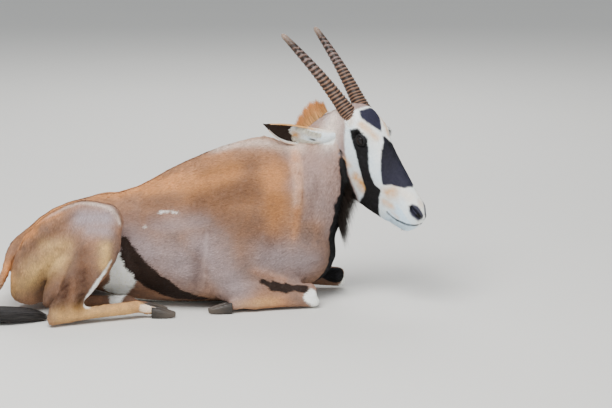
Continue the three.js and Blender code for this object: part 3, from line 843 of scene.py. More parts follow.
# Each row of a tint has the two ends of a line, its reach and its strength. The face's lines are given by the way
# down the face and the degrees round it, the body's by places on its right half.
FACE_SPOTS = (
    (98, 122, 0, 116, 124, 0, 9, 0.6),
    (152, 134, 0, 190, 141, 0, 14, 0.9),
    (52, 33, 0, 84, 26, 0, 9, 0.6),
    (84, 26, 0, 106, 20, 0, 8, 0.55),
    (20, 44, 0, 34, 48, 0, 10, 0.35),
    (242, 80, 0, 250, 54, 0, 21, 0.75),
    (256, 118, 0, 274, 102, 0, 15, 0.65),
    (262, 34, 0, 290, 20, 0, 14, 0.25),
    (311, 0, 0, 320, 4, 0, 10, 0.3),
    (290, 118, 0, 312, 106, 0, 8, 0.3),
)
TINTS = {
    "foot": (
        (-357, -303, 28, -154, -229, 43, 26, 0.4),
        (-154, -229, 43, -112, -212, 20, 24, 0.55),
    ),
    "band": (
        (290, -36, 421, 295, -95, 321, 13, 1),
        (295, -95, 321, 280, -132, 200, 13, 0.7),
    ),
    "warm": (
        (-500, 0, 110, -497, -114, 92, 24, 1),
        (-490, -60, 150, -430, -139, 233, 21, 1),
        (-430, -120, 240, -364, -145, 284, 17, 0.9),
        (-440, 0, 215, -340, -20, 275, 40, 0.8),
        (-240, 0, 290, -100, -30, 335, 34, 0.9),
        (-100, -50, 328, 30, -105, 348, 34, 1),
        (30, -105, 348, 110, -100, 378, 30, 0.9),
        (222, -100, 360, 222, -150, 230, 34, 0.8),
        (172, -166, 118, 238, -130, 84, 13, 0.9),
        (120, -172, 30, 240, -165, 26, 22, 0.5),
    ),
    "cream": (
        (-366, -193, 166, -431, -172, 124, 38, 0.9),
        (-431, -165, 110, -480, -115, 80, 30, 0.85),
        (-400, -180, 200, -345, -205, 205, 22, 0.6),
        (-237, -245, 208, -238, -247, 162, 18, 0.9),
        (-368, -300, 36, -176, -233, 20, 24, 0.6),
        (225, -176, 30, 120, -172, 22, 14, 0.4),
    ),
    "lilac": (
        (-300, -198, 281, -235, -206, 280, 34, 1),
        (-236, -226, 250, -280, -215, 255, 26, 0.8),
        (30, -178, 190, 110, -175, 70, 60, 0.8),
        (-170, -135, 190, 0, -170, 120, 70, 0.75),
        (-105, -140, 240, 24, -160, 250, 34, 0.6),
        (200, -160, 150, 320, -120, 120, 60, 0.8),
    ),
    "brown": (
        (-452, -150, 165, -430, -165, 205, 12, 0.45),
        (-430, -165, 205, -364, -185, 252, 13, 0.5),
        (-364, -185, 252, -320, -185, 290, 12, 0.4),
        # Painted shade with the leg's own brown: this row and the four below darken the shank under the haunch down to
        # the hock.
        (-296, -240, 190, -301, -263, 143, 24, 0.55),
        (-301, -263, 143, -304, -274, 90, 32, 0.75),
        (-304, -276, 80, -310, -282, 52, 24, 1),
        (-345, -262, 110, -360, -282, 66, 32, 0.85),
        (-367, -190, 110, -375, -220, 60, 34, 0.55),
        (40, -95, 372, 165, -88, 394, 30, 0.4),
        (-200, -150, 40, -160, -150, 40, 20, 0.5),
        (20, -135, 306, 158, -135, 334, 52, 0.55),
        (60, -155, 280, 160, -160, 240, 55, 0.4),
        (222, -140, 300, 216, -157, 200, 36, 0.38),
        (-120, -105, 296, 0, -130, 296, 34, 0.34),
        (-172, -110, 258, -95, -135, 262, 30, 0.34),
        (-172, -128, 225, -120, -140, 228, 24, 0.25),
        (322, -92, 310, 330, -96, 260, 13, 0.3),
        # Painted shade in the groove low on the neck.
        (341, -81, 350, 346, -88, 296, 8, 0.3),
        (10, -176, 170, 8, -170, 60, 16, 0.35),
    ),
    # Painted highlight: the top of the back, a raised fold of the neck and the rim of the haunch; the last row is pale
    # hair at the ear's root.
    "highlight_and_pale_hair": (
        (85, -8, 424, 229, -30, 446, 24, 0.6),
        (229, -30, 446, 300, -30, 436, 24, 0.6),
        (292, -60, 385, 289, -111, 291, 14, 0.25),
        (-410, -135, 268, -299, -155, 315, 8, 0.6),
        (-299, -155, 315, -225, -185, 300, 7, 0.7),
        (-225, -185, 300, -198, -190, 262, 7, 0.6),
        (376, -44, 458, 412, -20, 510, 32, 0.9),
    ),
}


@dataclass(frozen=True)
class Markings:
    """The black, white and tinted fields of the coat.

    The face's outlines are rows of the way down the face in millimetres and degrees round it from its ridge. The
    body's are rounded bars from one place to another with a half width.

    Args:
        forehead: half the patch between the eyes.
        nose: half the patch on the ridge of the nose.
        stripe: the stripe through the eye and down to the jaw.
        white_face: the edge of the white that lies round them.
        nostril_skin: the bare skin round a nostril.
        nostril: the nostril's slit, as places in the head's own frame.
        nostril_size: its half width on the way along the slit.
        lips: the line of the mouth, as places in the head's own frame.
        spine: the line down the back, as rows of x and y.
        flank: the band along the flank, as rows of a place on the left and a half width.
    """

    forehead: tuple[Row, ...] = ((17, 18), (26, 23), (36, 25), (45, 23), (57, 20), (69, 15), (81, 9), (95, 0))
    nose: tuple[Row, ...] = (
        *((109, 3), (124, 9), (140, 23), (171, 40), (200, 61), (217, 74), (232, 45), (259, 22), (267, 0)),
    )
    stripe: tuple[Row, ...] = (
        *((46, 58), (51, 50), (56, 42), (81, 40), (96, 38), (113, 43), (130, 52), (165, 79), (201, 103), (225, 96)),
        *((235, 127), (254, 151), (272, 170), (272, 200), (203, 200), (202, 174), (201, 160), (193, 143), (169, 125)),
        *((143, 103), (121, 87), (99, 76), (67, 65)),
    )
    white_face: tuple[Row, ...] = (
        *((9, -20), (9, 50), (27, 60), (40, 70), (56, 84), (73, 97), (100, 117), (126, 139), (157, 156), (189, 166)),
        *((203, 176), (205, 210), (420, 210), (420, -20)),
    )
    nostril_skin: tuple[Row, ...] = (
        *((305, 38), (307, 24), (320, 14), (334, 8), (346, 2), (353, 8), (352, 32), (337, 44), (320, 46)),
    )
    nostril: tuple[Row, ...] = ((309, 27, -9), (320, 25, -10), (334, 20, -11), (345, 11, -15))
    nostril_size: Row = (2, 6.5, 8, 5.5)
    lips: tuple[Row, ...] = (
        *((280, 31, -84), (289, 31, -82), (300, 31, -78), (314, 32, -70), (329, 34, -59), (342, 31, -50)),
        *((352, 26, -41), (357, 14, -37), (359, 0, -36)),
    )
    spine: tuple[Row, ...] = ((-462, 34), (-392, 30), (-330, 24), (-265, 16), (-198, 8), (-113, 2), (-40, 0), (160, 0))
    flank: tuple[Row, ...] = (
        *((-184, 133, 196, 11), (-170, 139, 162, 21), (-156, 138, 137, 27), (-130, 136, 108, 32)),
        *((-100, 134, 82, 34), (-62, 128, 57, 31), (-22, 120, 34, 26), (22, 110, 14, 20)),
    )

    def face(self, points: Points) -> tuple[Points, Points]:
        """The way down the face and the skin's length round it from the ridge, for each place."""
        place = to_head(points)
        angle = np.degrees(np.arctan2(np.abs(place[:, 1]), place[:, 2] - FACE_MIDDLE))
        return place[:, 0], angle * DEGREE

    def patch(self, points: Points, outline: Sequence[Row], crosses_ridge: bool) -> Points:
        """How far each place lies inside a patch of the face.

        Args:
            points: places in millimetres.
            outline: the patch's corners.
            crosses_ridge: whether the outline is one half of a patch that lies across the ridge.

        Returns:
            Signed distances in millimetres.
        """
        x, turn = self.face(points)
        corners = [(a, b * DEGREE) for a, b in outline]
        if crosses_ridge:
            corners = [(a, -b) for a, b in corners] + corners[::-1]
        return inside_distance(np.column_stack([x, turn]), corners)

    @staticmethod
    def bars(points: Points, rows: Iterable[Row]) -> Points:
        """How far each place lies inside the nearest of some rounded bars.

        Args:
            points: places in millimetres.
            rows: six numbers for the two ends and one for the half width.

        Returns:
            Signed distances in millimetres.
        """
        return np.max([row[6] - segment_distance(points, row[:3], row[3:6]) for row in rows], axis=0)

    def black(self, points: Points, head: Points) -> Points:
        """How far each place lies inside the black marks.

        Args:
            points: places in millimetres.
            head: 1 on the head and 0 elsewhere.

        Returns:
            Signed distances in millimetres.
        """
        mirrored = to_half_head(points)
        near, share = path_distance(mirrored, self.nostril)
        face = np.max(
            [
                self.patch(points, self.forehead, True),
                self.patch(points, self.nose, True),
                self.patch(points, self.stripe, False),
                self.patch(points, self.nostril_skin, False) * 0.7,
                through(self.nostril_size, share) - near,
                3.6 - path_distance(mirrored, self.lips)[0],
                3 - np.abs(EYE.opening(mirrored)),
            ],
            axis=0,
        )
        way = ((0.05, 0), (0.18, 0), (0.3, 0.1), (0.45, 0.3), (0.6, 0.5), (0.69, 0.55), (0.78, 0.6))
        front = [NECK.on(t, math.pi - turn) for t, turn in way]
        body = [(*a, *b, r) for a, b, r in zip(front, front[1:], (44, 45, 46, 46, 46, 42))]
        body += [
            (394, 0, 270, 396, 0, 60, 62),
            (182, -156, 82, 215, -160, 70, 8),
            (215, -160, 70, 262, -152, 62, 15),
            (262, -152, 62, 300, -144, 56, 12),
            (276, 130, 68, 330, 116, 60, 12),
            (330, 116, 60, 376, 100, 52, 15),
            (-560, -160, 40, -560, -230, 26, 44),
            (-548, -128, 56, -556, -150, 44, 14),
        ]
        for y in (-1, 1):
            steps = [(x, y * z, height, r) for x, z, height, r in self.flank]
            body += [(*a[:3], *b[:3], (a[3] + b[3]) / 2) for a, b in zip(steps, steps[1:])]
        marks = self.bars(points, body) + 3.5 * wander(points, 46) + 1.5 * wander(points, 17)
        behind = np.minimum(marks, -3 - self.patch(points, self.white_face, False))
        return np.where(head > 0.5, np.maximum(face, behind), marks)

    def white(self, points: Points, head: Points) -> Points:
        """How far each place lies inside the white fields.

        Args:
            points: places in millimetres.
            head: 1 on the head and 0 elsewhere.

        Returns:
            Signed distances in millimetres.
        """
        face = self.patch(points, self.white_face, False)
        edge = (
            *((-222, -235, 168, 2), (-238, -245, 142, 3), (-258, -254, 114, 6)),
            *((-284, -258, 78, 9), (-290, -262, 52, 10)),
        )
        body = [
            (-250, 0, 5, 300, 0, 5, 60),
            (-204, -145, 150, -210, -135, 30, 22),
            (-186, -128, 90, -210, -100, 40, 36),
            (-175, -125, 92, -168, -114, 62, 10),
            (358, -44, 457, 386, -44, 455, 17),
            (-88, -130, 276, -66, -137, 278, 2.4),
            (-58, -139, 281, -36, -146, 274, 2.2),
            (-130, -134, 238, -126, -135, 232, 2.6),
            (36, -166, 243, 38, -166, 237, 2.6),
            (322, -150, 36, 330, -140, 20, 20),
            (432, 66, 30, 440, 74, 14, 19),
            (-100, -212, 30, -140, -222, 30, 12),
            *((*a[:3], *b[:3], b[3]) for a, b in zip(edge, edge[1:])),
        ]
        marks = self.bars(points, body) + 1.6 * wander(points, 30)
        return np.where(head > 0.5, face, marks)

    def tints(self, points: Points, head: Points, neck: Points) -> dict[str, Points]:
        """The soft tints of the coat.

        Args:
            points: places in millimetres.
            head: 1 on the head and 0 elsewhere.
            neck: 1 on the neck and 0 elsewhere, with a soft edge.

        Returns:
            A number from 0 to 1 for each place, by the tint's name.
        """
        x, turn = self.face(points)
        flat = np.column_stack([x, turn / DEGREE, np.zeros(len(x))])
        right = points * (1, 0, 1) - np.abs(points) * (0, 1, 0)
        tint = {name: soft(right, rows) for name, rows in TINTS.items()}
        body = 1 - head
        x_spine, y_spine = np.array(self.spine, float).T
        off = points[:, 1] - np.interp(points[:, 0], x_spine, y_spine)
        high = smoothstep(190, 220, points[:, 2]) * smoothstep(-460, -430, points[:, 0])
        line = 0.75 * np.exp(-((off / 6) ** 2)) * high * smoothstep(150, 100, points[:, 0])
        brown = np.maximum(tint["brown"], line * (1 + 0.25 * wander(points, 60)))
        on_nose, on_brow = self.patch(points, self.nose, True), self.patch(points, self.forehead, True)
        from_nostril = path_distance(to_half_head(points), self.nostril)[0]
        # Painted wet sheen: on the bare skin round each nostril, away from its slit, the black turns lighter and
        # bluish.
        wet = smoothstep(4.5, 8, from_nostril) * (self.patch(points, self.nostril_skin, False) > -3)
        return {
            "warm": np.clip(
                0.15 + 0.25 * smoothstep(200, 340, points[:, 2]) + 0.9 * tint["warm"] + 0.8 * tint["band"], 0, 1
            ),
            "lilac": np.clip(
                0.6 * neck * (1 - 0.6 * tint["band"]) + tint["lilac"] * body * (1 - neck) + 0.7 * head, 0, 1
            ),
            "brown": brown * body,
            "cream": tint["cream"] * body * np.where(points[:, 1] > 0, 0.55, 1),
            "highlight_and_pale_hair": tint["highlight_and_pale_hair"],
            "blush": np.maximum(soft(flat, FACE_SPOTS) * head, tint["foot"] * body),
            "cool": np.maximum(0.12 + 0.4 * smoothstep(22, 48, turn), (turn > 60) * smoothstep(250, 300, x)) * head,
            "blue_black_and_sheen": np.select([on_nose > -8, on_brow > -8], [0.2 + 0.5 * smoothstep(130, 250, x), 0.95], wet) * head,
            "umber": body * (1 - neck) * smoothstep(330, 300, points[:, 0]),
        }


# The skin


@dataclass(frozen=True)
class Eye:
    """One eye and the lids round it, in the head's own frame with y counted outwards.

    Args:
        middle: the ball's middle.
        radius: the ball's radius.
        half_length: half the length of the slit between the lids.
        upper: how high the slit opens above its corners.
        lower: how far it opens below them.
        tilt: how far it is turned, in radians.
        lid: how thick the lids are over the ball.
        behind: how far the skin runs under the ball's surface inside the slit.
    """

    middle: Row = (84, 47.5, -4)
    radius: float = 17
    half_length: float = 15.6
    upper: float = 12.6
    lower: float = 7.0
    tilt: float = 0.25
    lid: float = 1.8
    behind: float = 2.5

    def flat(self, mirrored: Points) -> tuple[Points, Points, Points]:
        """Places as the way along the slit, up across it and outwards from the eye's middle."""
        from_middle = mirrored - np.array(self.middle)
        c, s = math.cos(self.tilt), math.sin(self.tilt)
        along = from_middle[:, 0] * c - from_middle[:, 2] * s
        up = from_middle[:, 0] * s + from_middle[:, 2] * c
        return along, up, from_middle[:, 1]

    def opening(self, mirrored: Points) -> Points:
        """How far each place lies outside the slit between the lids, below zero inside it."""
        along, up, out = self.flat(mirrored)
        height = np.where(up > 0, self.upper, self.lower)
        edge = np.abs(up) - height * (1 - (along / self.half_length) ** 2)
        slope = 2 * height * np.abs(along) / self.half_length**2
        corner = np.hypot(np.maximum(np.abs(along) - self.half_length, 0), np.abs(up))
        far = np.where(np.abs(along) < self.half_length, edge / np.sqrt(1 + slope**2), corner)
        return np.where(out > 0, far, 60)


EYE = Eye()


@dataclass
class Skin:
    """One skin in place of all the flesh, with lids, nostrils, lips and folds.

    Args:
        voxel: the side of its first faces.
        swell: how far the solids grow so that they meet.
        body_depth: how far it lies inside the body's solids.
        face_depth: how far it lies inside the head's solid.
        brow_sinks: how far the brow between the horns is lowered.
        even_rounds: how often the whole skin is evened out.
        seam_rounds: how often the places where solids meet are evened out again.
        seam_spread: how far those places reach, in rounds of blurring.
        head_rounds: how often the head's split faces are evened out.
        samples: points on each solid that tell which vertices stand for it.
    """

    voxel: float = 6.8
    swell: float = 0.6
    body_depth: float = 2.2
    face_depth: float = 0.8
    brow_sinks: float = 7
    even_rounds: int = 90
    seam_rounds: int = 20
    seam_spread: int = 8
    head_rounds: int = 4
    samples: int = 500
    markings: Markings = Markings()
    shape: bpy.types.Object = field(init=False)
    fields: dict[str, Points] = field(init=False)

    def flesh(self) -> list[str]:
        """The solids that the skin replaces."""
        kept = ("eye_", "horn_", "tail_tuft")
        return [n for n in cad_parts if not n.startswith(kept) and "hoof" not in n]

    def build(self) -> bpy.types.Object:
        """Builds the skin and stores its markings and the lie of its hair."""
        solids = [n for n in self.flesh() if n != "neck" and not n.startswith("ear_")]
        parts = [closed_copy(n, self.swell) for n in solids]
        parts += [closed_copy("eye_" + side.word, self.swell) for side in Side]
        parts.append(sheet("neck_core", NECK.rows(24, 40)))
        parts.append(sheet("tuft_core", TUFT.rows(12, 16, 0.6)))
        parts.append(sheet("calf_core", CALF.rows(12, 24)))
        self.shape = joined("hide", parts)
        apply(self.shape, "REMESH", mode="VOXEL", voxel_size=self.voxel * MM)
        self._even_out()
        refine(self.shape, lambda p: self._reach(p, -60) > 0)
        refine(self.shape, lambda p: (self._reach(p, 270) > 0) | (self._near_eye(p) < 30))
        refine(self.shape, lambda p: self._near_eye(p) < 24)
        self._soften_head()
        self._fold_body()
        self._model_nose()
        self._model_lids()
        ears = [Ear(side) for side in Side]
        count = len(self.shape.data.vertices)
        self.shape = joined("hide", [self.shape, *[ear.build() for ear in ears]])
        self._store(count, ears)
        return self.shape

    def _reach(self, points: Points, start: float) -> Points:
        """How far each place lies down the face past a start, and below zero where it isn't on the head."""
        place = to_head(points)
        near = (np.abs(place[:, 1]) < 80) & (place[:, 2] > -195) & (place[:, 2] < 60)
        return np.where(near, place[:, 0] - start, -1)

    def _near_eye(self, points: Points) -> Points:
        """How far each place lies from the middle of the nearer eye."""
        return np.linalg.norm(to_half_head(points) - np.array(EYE.middle), axis=1)

    def _even_out(self) -> None:
        """Takes the solids' facets off and draws the skin in by the coat's depth."""
        points = points_of(self.shape)
        head = smoothstep(0, 25, self._reach(points, -50))
        thin = 1 - smoothstep(60, 110, points[:, 2]) * 0.4
        strength = np.where(head > 0, 1 - 0.55 * head, thin)
        edges = edges_of(self.shape)
        points = relaxed(points, edges, strength, self.even_rounds)
        regions = self._regions(points)[1]
        seam = np.zeros(len(points))
        crossing = edges[regions[edges[:, 0]] != regions[edges[:, 1]]]
        seam[crossing.ravel()] = 1
        seam *= 1 - head
        seam = np.clip(2.5 * blurred(self.shape, seam, self.seam_spread), 0, 1)
        points = relaxed(points, edges, seam, self.seam_rounds, back=0.5)
        place_points(self.shape, points)
        depth = self.body_depth + (self.face_depth - self.body_depth) * head
        place_points(self.shape, points - depth[:, None] * normals_of(self.shape))

    def _soften_head(self) -> None:
        """Rounds the faces that were split and lowers the brow between the horns."""
        points = points_of(self.shape)
        strength = smoothstep(0, 30, self._reach(points, -60))
        place_points(self.shape, relaxed(points, edges_of(self.shape), strength, self.head_rounds))
        place = to_head(points_of(self.shape))
        near = np.exp(-(((place[:, 0] - 10) / 20) ** 2) - (place[:, 1] / 30) ** 2)
        self._raise(-self.brow_sinks * near * smoothstep(0.2, 0.7, normals_of(self.shape) @ HEAD_TURN[:, 2]))

    def _raise(self, rise: Points) -> None:
        """Moves each vertex outwards by its height in millimetres."""
        place_points(self.shape, points_of(self.shape) + rise[:, None] * normals_of(self.shape))

    def _press(self, marks: Sequence[tuple[Row, Row, float, float]]) -> None:
        """Raises or sinks the skin round lines.

        Args:
            marks: each line's two ends, its reach and its height in millimetres.
        """
        points = points_of(self.shape)
        rise = np.zeros(len(points))
        for start, end, reach, height in marks:
            rise += height * np.exp(-((segment_distance(points, start, end) / reach) ** 2))
        self._raise(rise)

    def _fold_body(self) -> None:
        """The folds of the neck, the crease behind the shoulder, the hip bone, the elbow and the ribs."""
        neck = [
            ((290, -40, 421), (292, -70, 371), 9, 3),
            ((292, -70, 371), (296, -98, 321), 9, 4),
            ((296, -98, 321), (288, -122, 257), 9, 4),
            ((308, -60, 400), (313, -104, 290), 8, -4),
            ((330, -76, 372), (330, -100, 290), 9, 2.5),
            ((341, -78, 350), (346, -90, 291), 6, -2.5),
        ]
        shoulder = [
            ((61, -131, 333), (40, -170, 220), 14, -3),
            ((40, -170, 220), (30, -178, 110), 12, -7),
            ((30, -178, 110), (27, -160, 56), 11, -8),
            ((70, -176, 200), (80, -172, 80), 24, 6),
            ((120, -172, 60), (150, -165, 50), 26, 5),
            ((-249, -20, 288), (-230, -60, 284), 26, 4),
            ((150, -160, 250), (190, -160, 120), 30, 4),
            ((110, -160, 300), (88, -178, 210), 22, -3),
            ((210, -150, 300), (225, -158, 180), 22, -3),
        ]
        right = [
            ((172, -172, 118), (238, -132, 82), 11, 5),
            ((-182, -142, 196), (-160, -148, 120), 16, -5),
        ]
        ribs = [((x, -140, 250), (x + 16, -160, 120), 9, 1.1) for x in (-140, -108, -76, -44, -12)]
        left = [((a[0], -a[1], a[2]), (b[0], -b[1], b[2]), *sizes) for a, b, *sizes in shoulder + ribs]
        self._press(neck + shoulder + right + ribs + left)

    def _model_nose(self) -> None:
        """Opens the nostrils, draws the mouth and swells the lips."""
        points = points_of(self.shape)
        mirrored = to_half_head(points)
        on_nose = smoothstep(0, 20, self._reach(points, 262))
        near, share = path_distance(mirrored, self.markings.nostril)
        radius = through(self.markings.nostril_size, share)
        rise = -10 * np.clip(1 - (near / radius) ** 2, 0, 1) + 1.8 * np.exp(-(((near - radius - 3) / 2.8) ** 2))
        lips = path_distance(mirrored, self.markings.lips)[0]
        rise += -3.8 * np.exp(-((lips / 2.0) ** 2)) + 1.4 * np.exp(-(((lips - 5.5) / 3) ** 2))
        groove = np.exp(-((mirrored[:, 1] / 2.2) ** 2)) * smoothstep(344, 352, mirrored[:, 0])
        rise -= 1.6 * groove
        self._raise(rise * on_nose)

    def _model_lids(self) -> None:
        """Lays the skin round each eye over the ball, opens the slit and cuts the lids' creases."""
        points = points_of(self.shape)
        mirrored = to_half_head(points)
        along, up, out = EYE.flat(mirrored)
        edge = EYE.opening(mirrored)
        across = np.hypot(along, up)
        near = (across < 32) & (out > -4) & (self._reach(points, -40) > 0)
        lid = np.sqrt(np.maximum((EYE.radius + EYE.lid) ** 2 - across**2, 4))
        inner = np.sqrt(np.maximum((EYE.radius - EYE.behind) ** 2 - across**2, 1))
        opened = smoothstep(-1.1, 0.5, edge)
        crease = 1.3 * np.exp(-(((edge - 5.5) / 1.4) ** 2)) * np.where(up > 0, 1, 0.6)
        target = inner + (lid - inner) * opened - crease
        share = 1 - smoothstep(5, 14, edge)
        share = np.where(across < EYE.radius + 1, share, share * smoothstep(26, 18, across))
        mirrored[:, 1] = EYE.middle[1] + np.where(near, out + (target - out) * share, out)
        mirrored[:, 1] *= np.where(to_head(points)[:, 1] < 0, -1, 1)
        place_points(self.shape, np.where(near[:, None], from_head(mirrored), points))

    def _store(self, count: int, ears: "list[Ear]") -> None:
        """Works out the markings, the lie of the hair and the bare places, and stores the markings on the mesh.

        Args:
            count: how many vertices come before the ears'.
            ears: the ears that were joined on, in order.
        """
        points = points_of(self.shape)
        names, regions = self._regions(points)
        on_ear = np.zeros(len(points), bool)
        on_ear[count:] = True
        head_region = np.array([n == "head" for n in names])[regions].astype(float)
        head = np.where(on_ear, 0, head_region)
        neck = blurred(self.shape, np.array([n == "neck" for n in names])[regions].astype(float), 14)
        normals = normals_of(self.shape)
        mark, white = self.markings.black(points, head), self.markings.white(points, head)
        fields = self.markings.tints(points, head, neck)
        ear = {key: np.concatenate([e.fields[key] for e in ears]) for key in ears[0].fields}
        mark[on_ear], white[on_ear] = ear["mark"], ear["white"]
        for key in ("blush", "cool", "blue_black_and_sheen"):
            fields[key][on_ear] = ear[key]
        flow = self._flow(names, regions)
        flow[on_ear] = ear["flow"]
        flow = self._part_round_eyes(points, flow, head)
        flow = unit(flow - (flow * normals).sum(1, keepdims=True) * normals)
        mirrored = to_half_head(points)
        bare = 1 - smoothstep(1.0, 3.0, EYE.opening(mirrored))
        skin_only = smoothstep(-1, 2, self.markings.patch(points, self.markings.nostril_skin, False))
        lips = path_distance(mirrored, self.markings.lips)[0]
        bare = np.maximum(bare, np.maximum(skin_only, 1 - smoothstep(3.0, 5.0, lips)))
        muzzle = np.exp(-(((mirrored[:, 0] - 356) / 8) ** 2)) * head
        self.fields = {**fields, "mark": mark, "white": white, "moist": skin_only * head_region}
        for key, values in self.fields.items():
            give(self.shape, key, values)
        length = self._coat_length(mirrored, np.array(names)[regions], head)
        self.fields |= {
            "flow": flow,
            "normal": normals,
            "length": np.where(on_ear, 4.2, length),
            "bare": np.clip(np.maximum(bare * head_region, muzzle), 0, 1),
            "face": np.maximum(head, on_ear),
        }

    def _part_round_eyes(self, points: Points, flow: Points, head: Points) -> Points:
        """Turns the hair of the lids away from the slits."""
        mirrored = to_half_head(points)
        along, up, _ = EYE.flat(mirrored)
        way = unit(np.column_stack([along / EYE.half_length**2, up / EYE.upper**2]))
        c, s = math.cos(EYE.tilt), math.sin(EYE.tilt)
        away = np.column_stack([way[:, 0] * c + way[:, 1] * s, np.zeros(len(way)), way[:, 1] * c - way[:, 0] * s])
        share = np.exp(-((np.maximum(EYE.opening(mirrored), 0) / 8) ** 2)) * head
        return flow * (1 - share[:, None]) + (away @ HEAD_TURN.T) * share[:, None]

    def _coat_length(self, mirrored: Points, regions: Points, head: Points) -> Points:
        """How long the hair is at each vertex.

        Args:
            mirrored: the vertices in the head's own frame with y counted outwards.
            regions: the name of the solid that each one stands for.
            head: 1 on the head and 0 elsewhere.

        Returns:
            The lengths in millimetres.
        """
        length = np.full(len(regions), 9.0)
        for words, shorter in ((("forearm", "shank"), 7), (("cannon", "pastern"), 5.5)):
            for word in words:
                length[np.char.find(regions, word) >= 0] = shorter
        length = np.where(head > 0.5, through([7, 6, 4.6, 3.8, 3], mirrored[:, 0] / 340), length)
        length = blurred(self.shape, length, 8)
        lid = smoothstep(0, 14, EYE.opening(mirrored))
        return np.where(head > 0.5, 2.2 + (length - 2.2) * lid, length)

    def _regions(self, points: Points) -> tuple[list[str], Points]:
        """The solid that each vertex stands for, as a number into the list of names."""
        names = self.flesh()
        draw = np.random.default_rng(5)
        samples, owners = [], []
        for number, name in enumerate(names):
            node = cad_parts[name]
            corners = points_of(node)[triangles_of(node)[0]]
            areas = np.linalg.norm(np.cross(corners[:, 1] - corners[:, 0], corners[:, 2] - corners[:, 0]), axis=1)
            picked = draw.choice(len(areas), self.samples, p=areas / areas.sum())
            mix = draw.dirichlet((1, 1, 1), self.samples)
            samples.append(np.einsum("nk,nkd->nd", mix, corners[picked]))
            owners += [number] * self.samples
        return names, np.array(owners)[nearest(np.concatenate(samples), points)]

    def _flow(self, names: list[str], regions: Points) -> Points:
        """The direction in which the hair lies at each vertex, smoothed over the skin."""
        table = []
        for name in names:
            if name == "head":
                start, end = from_head((342, 0, -42)), from_head((-34, 0, -72))
            elif name.startswith("ear_"):
                start, end = (0, 0, 0), (-1, 0, 0)
            else:
                start, end = Flow[name.upper()].value
            table.append(unit(np.subtract(end, start).astype(float)))
        return blurred(self.shape, np.array(table)[regions], 14)


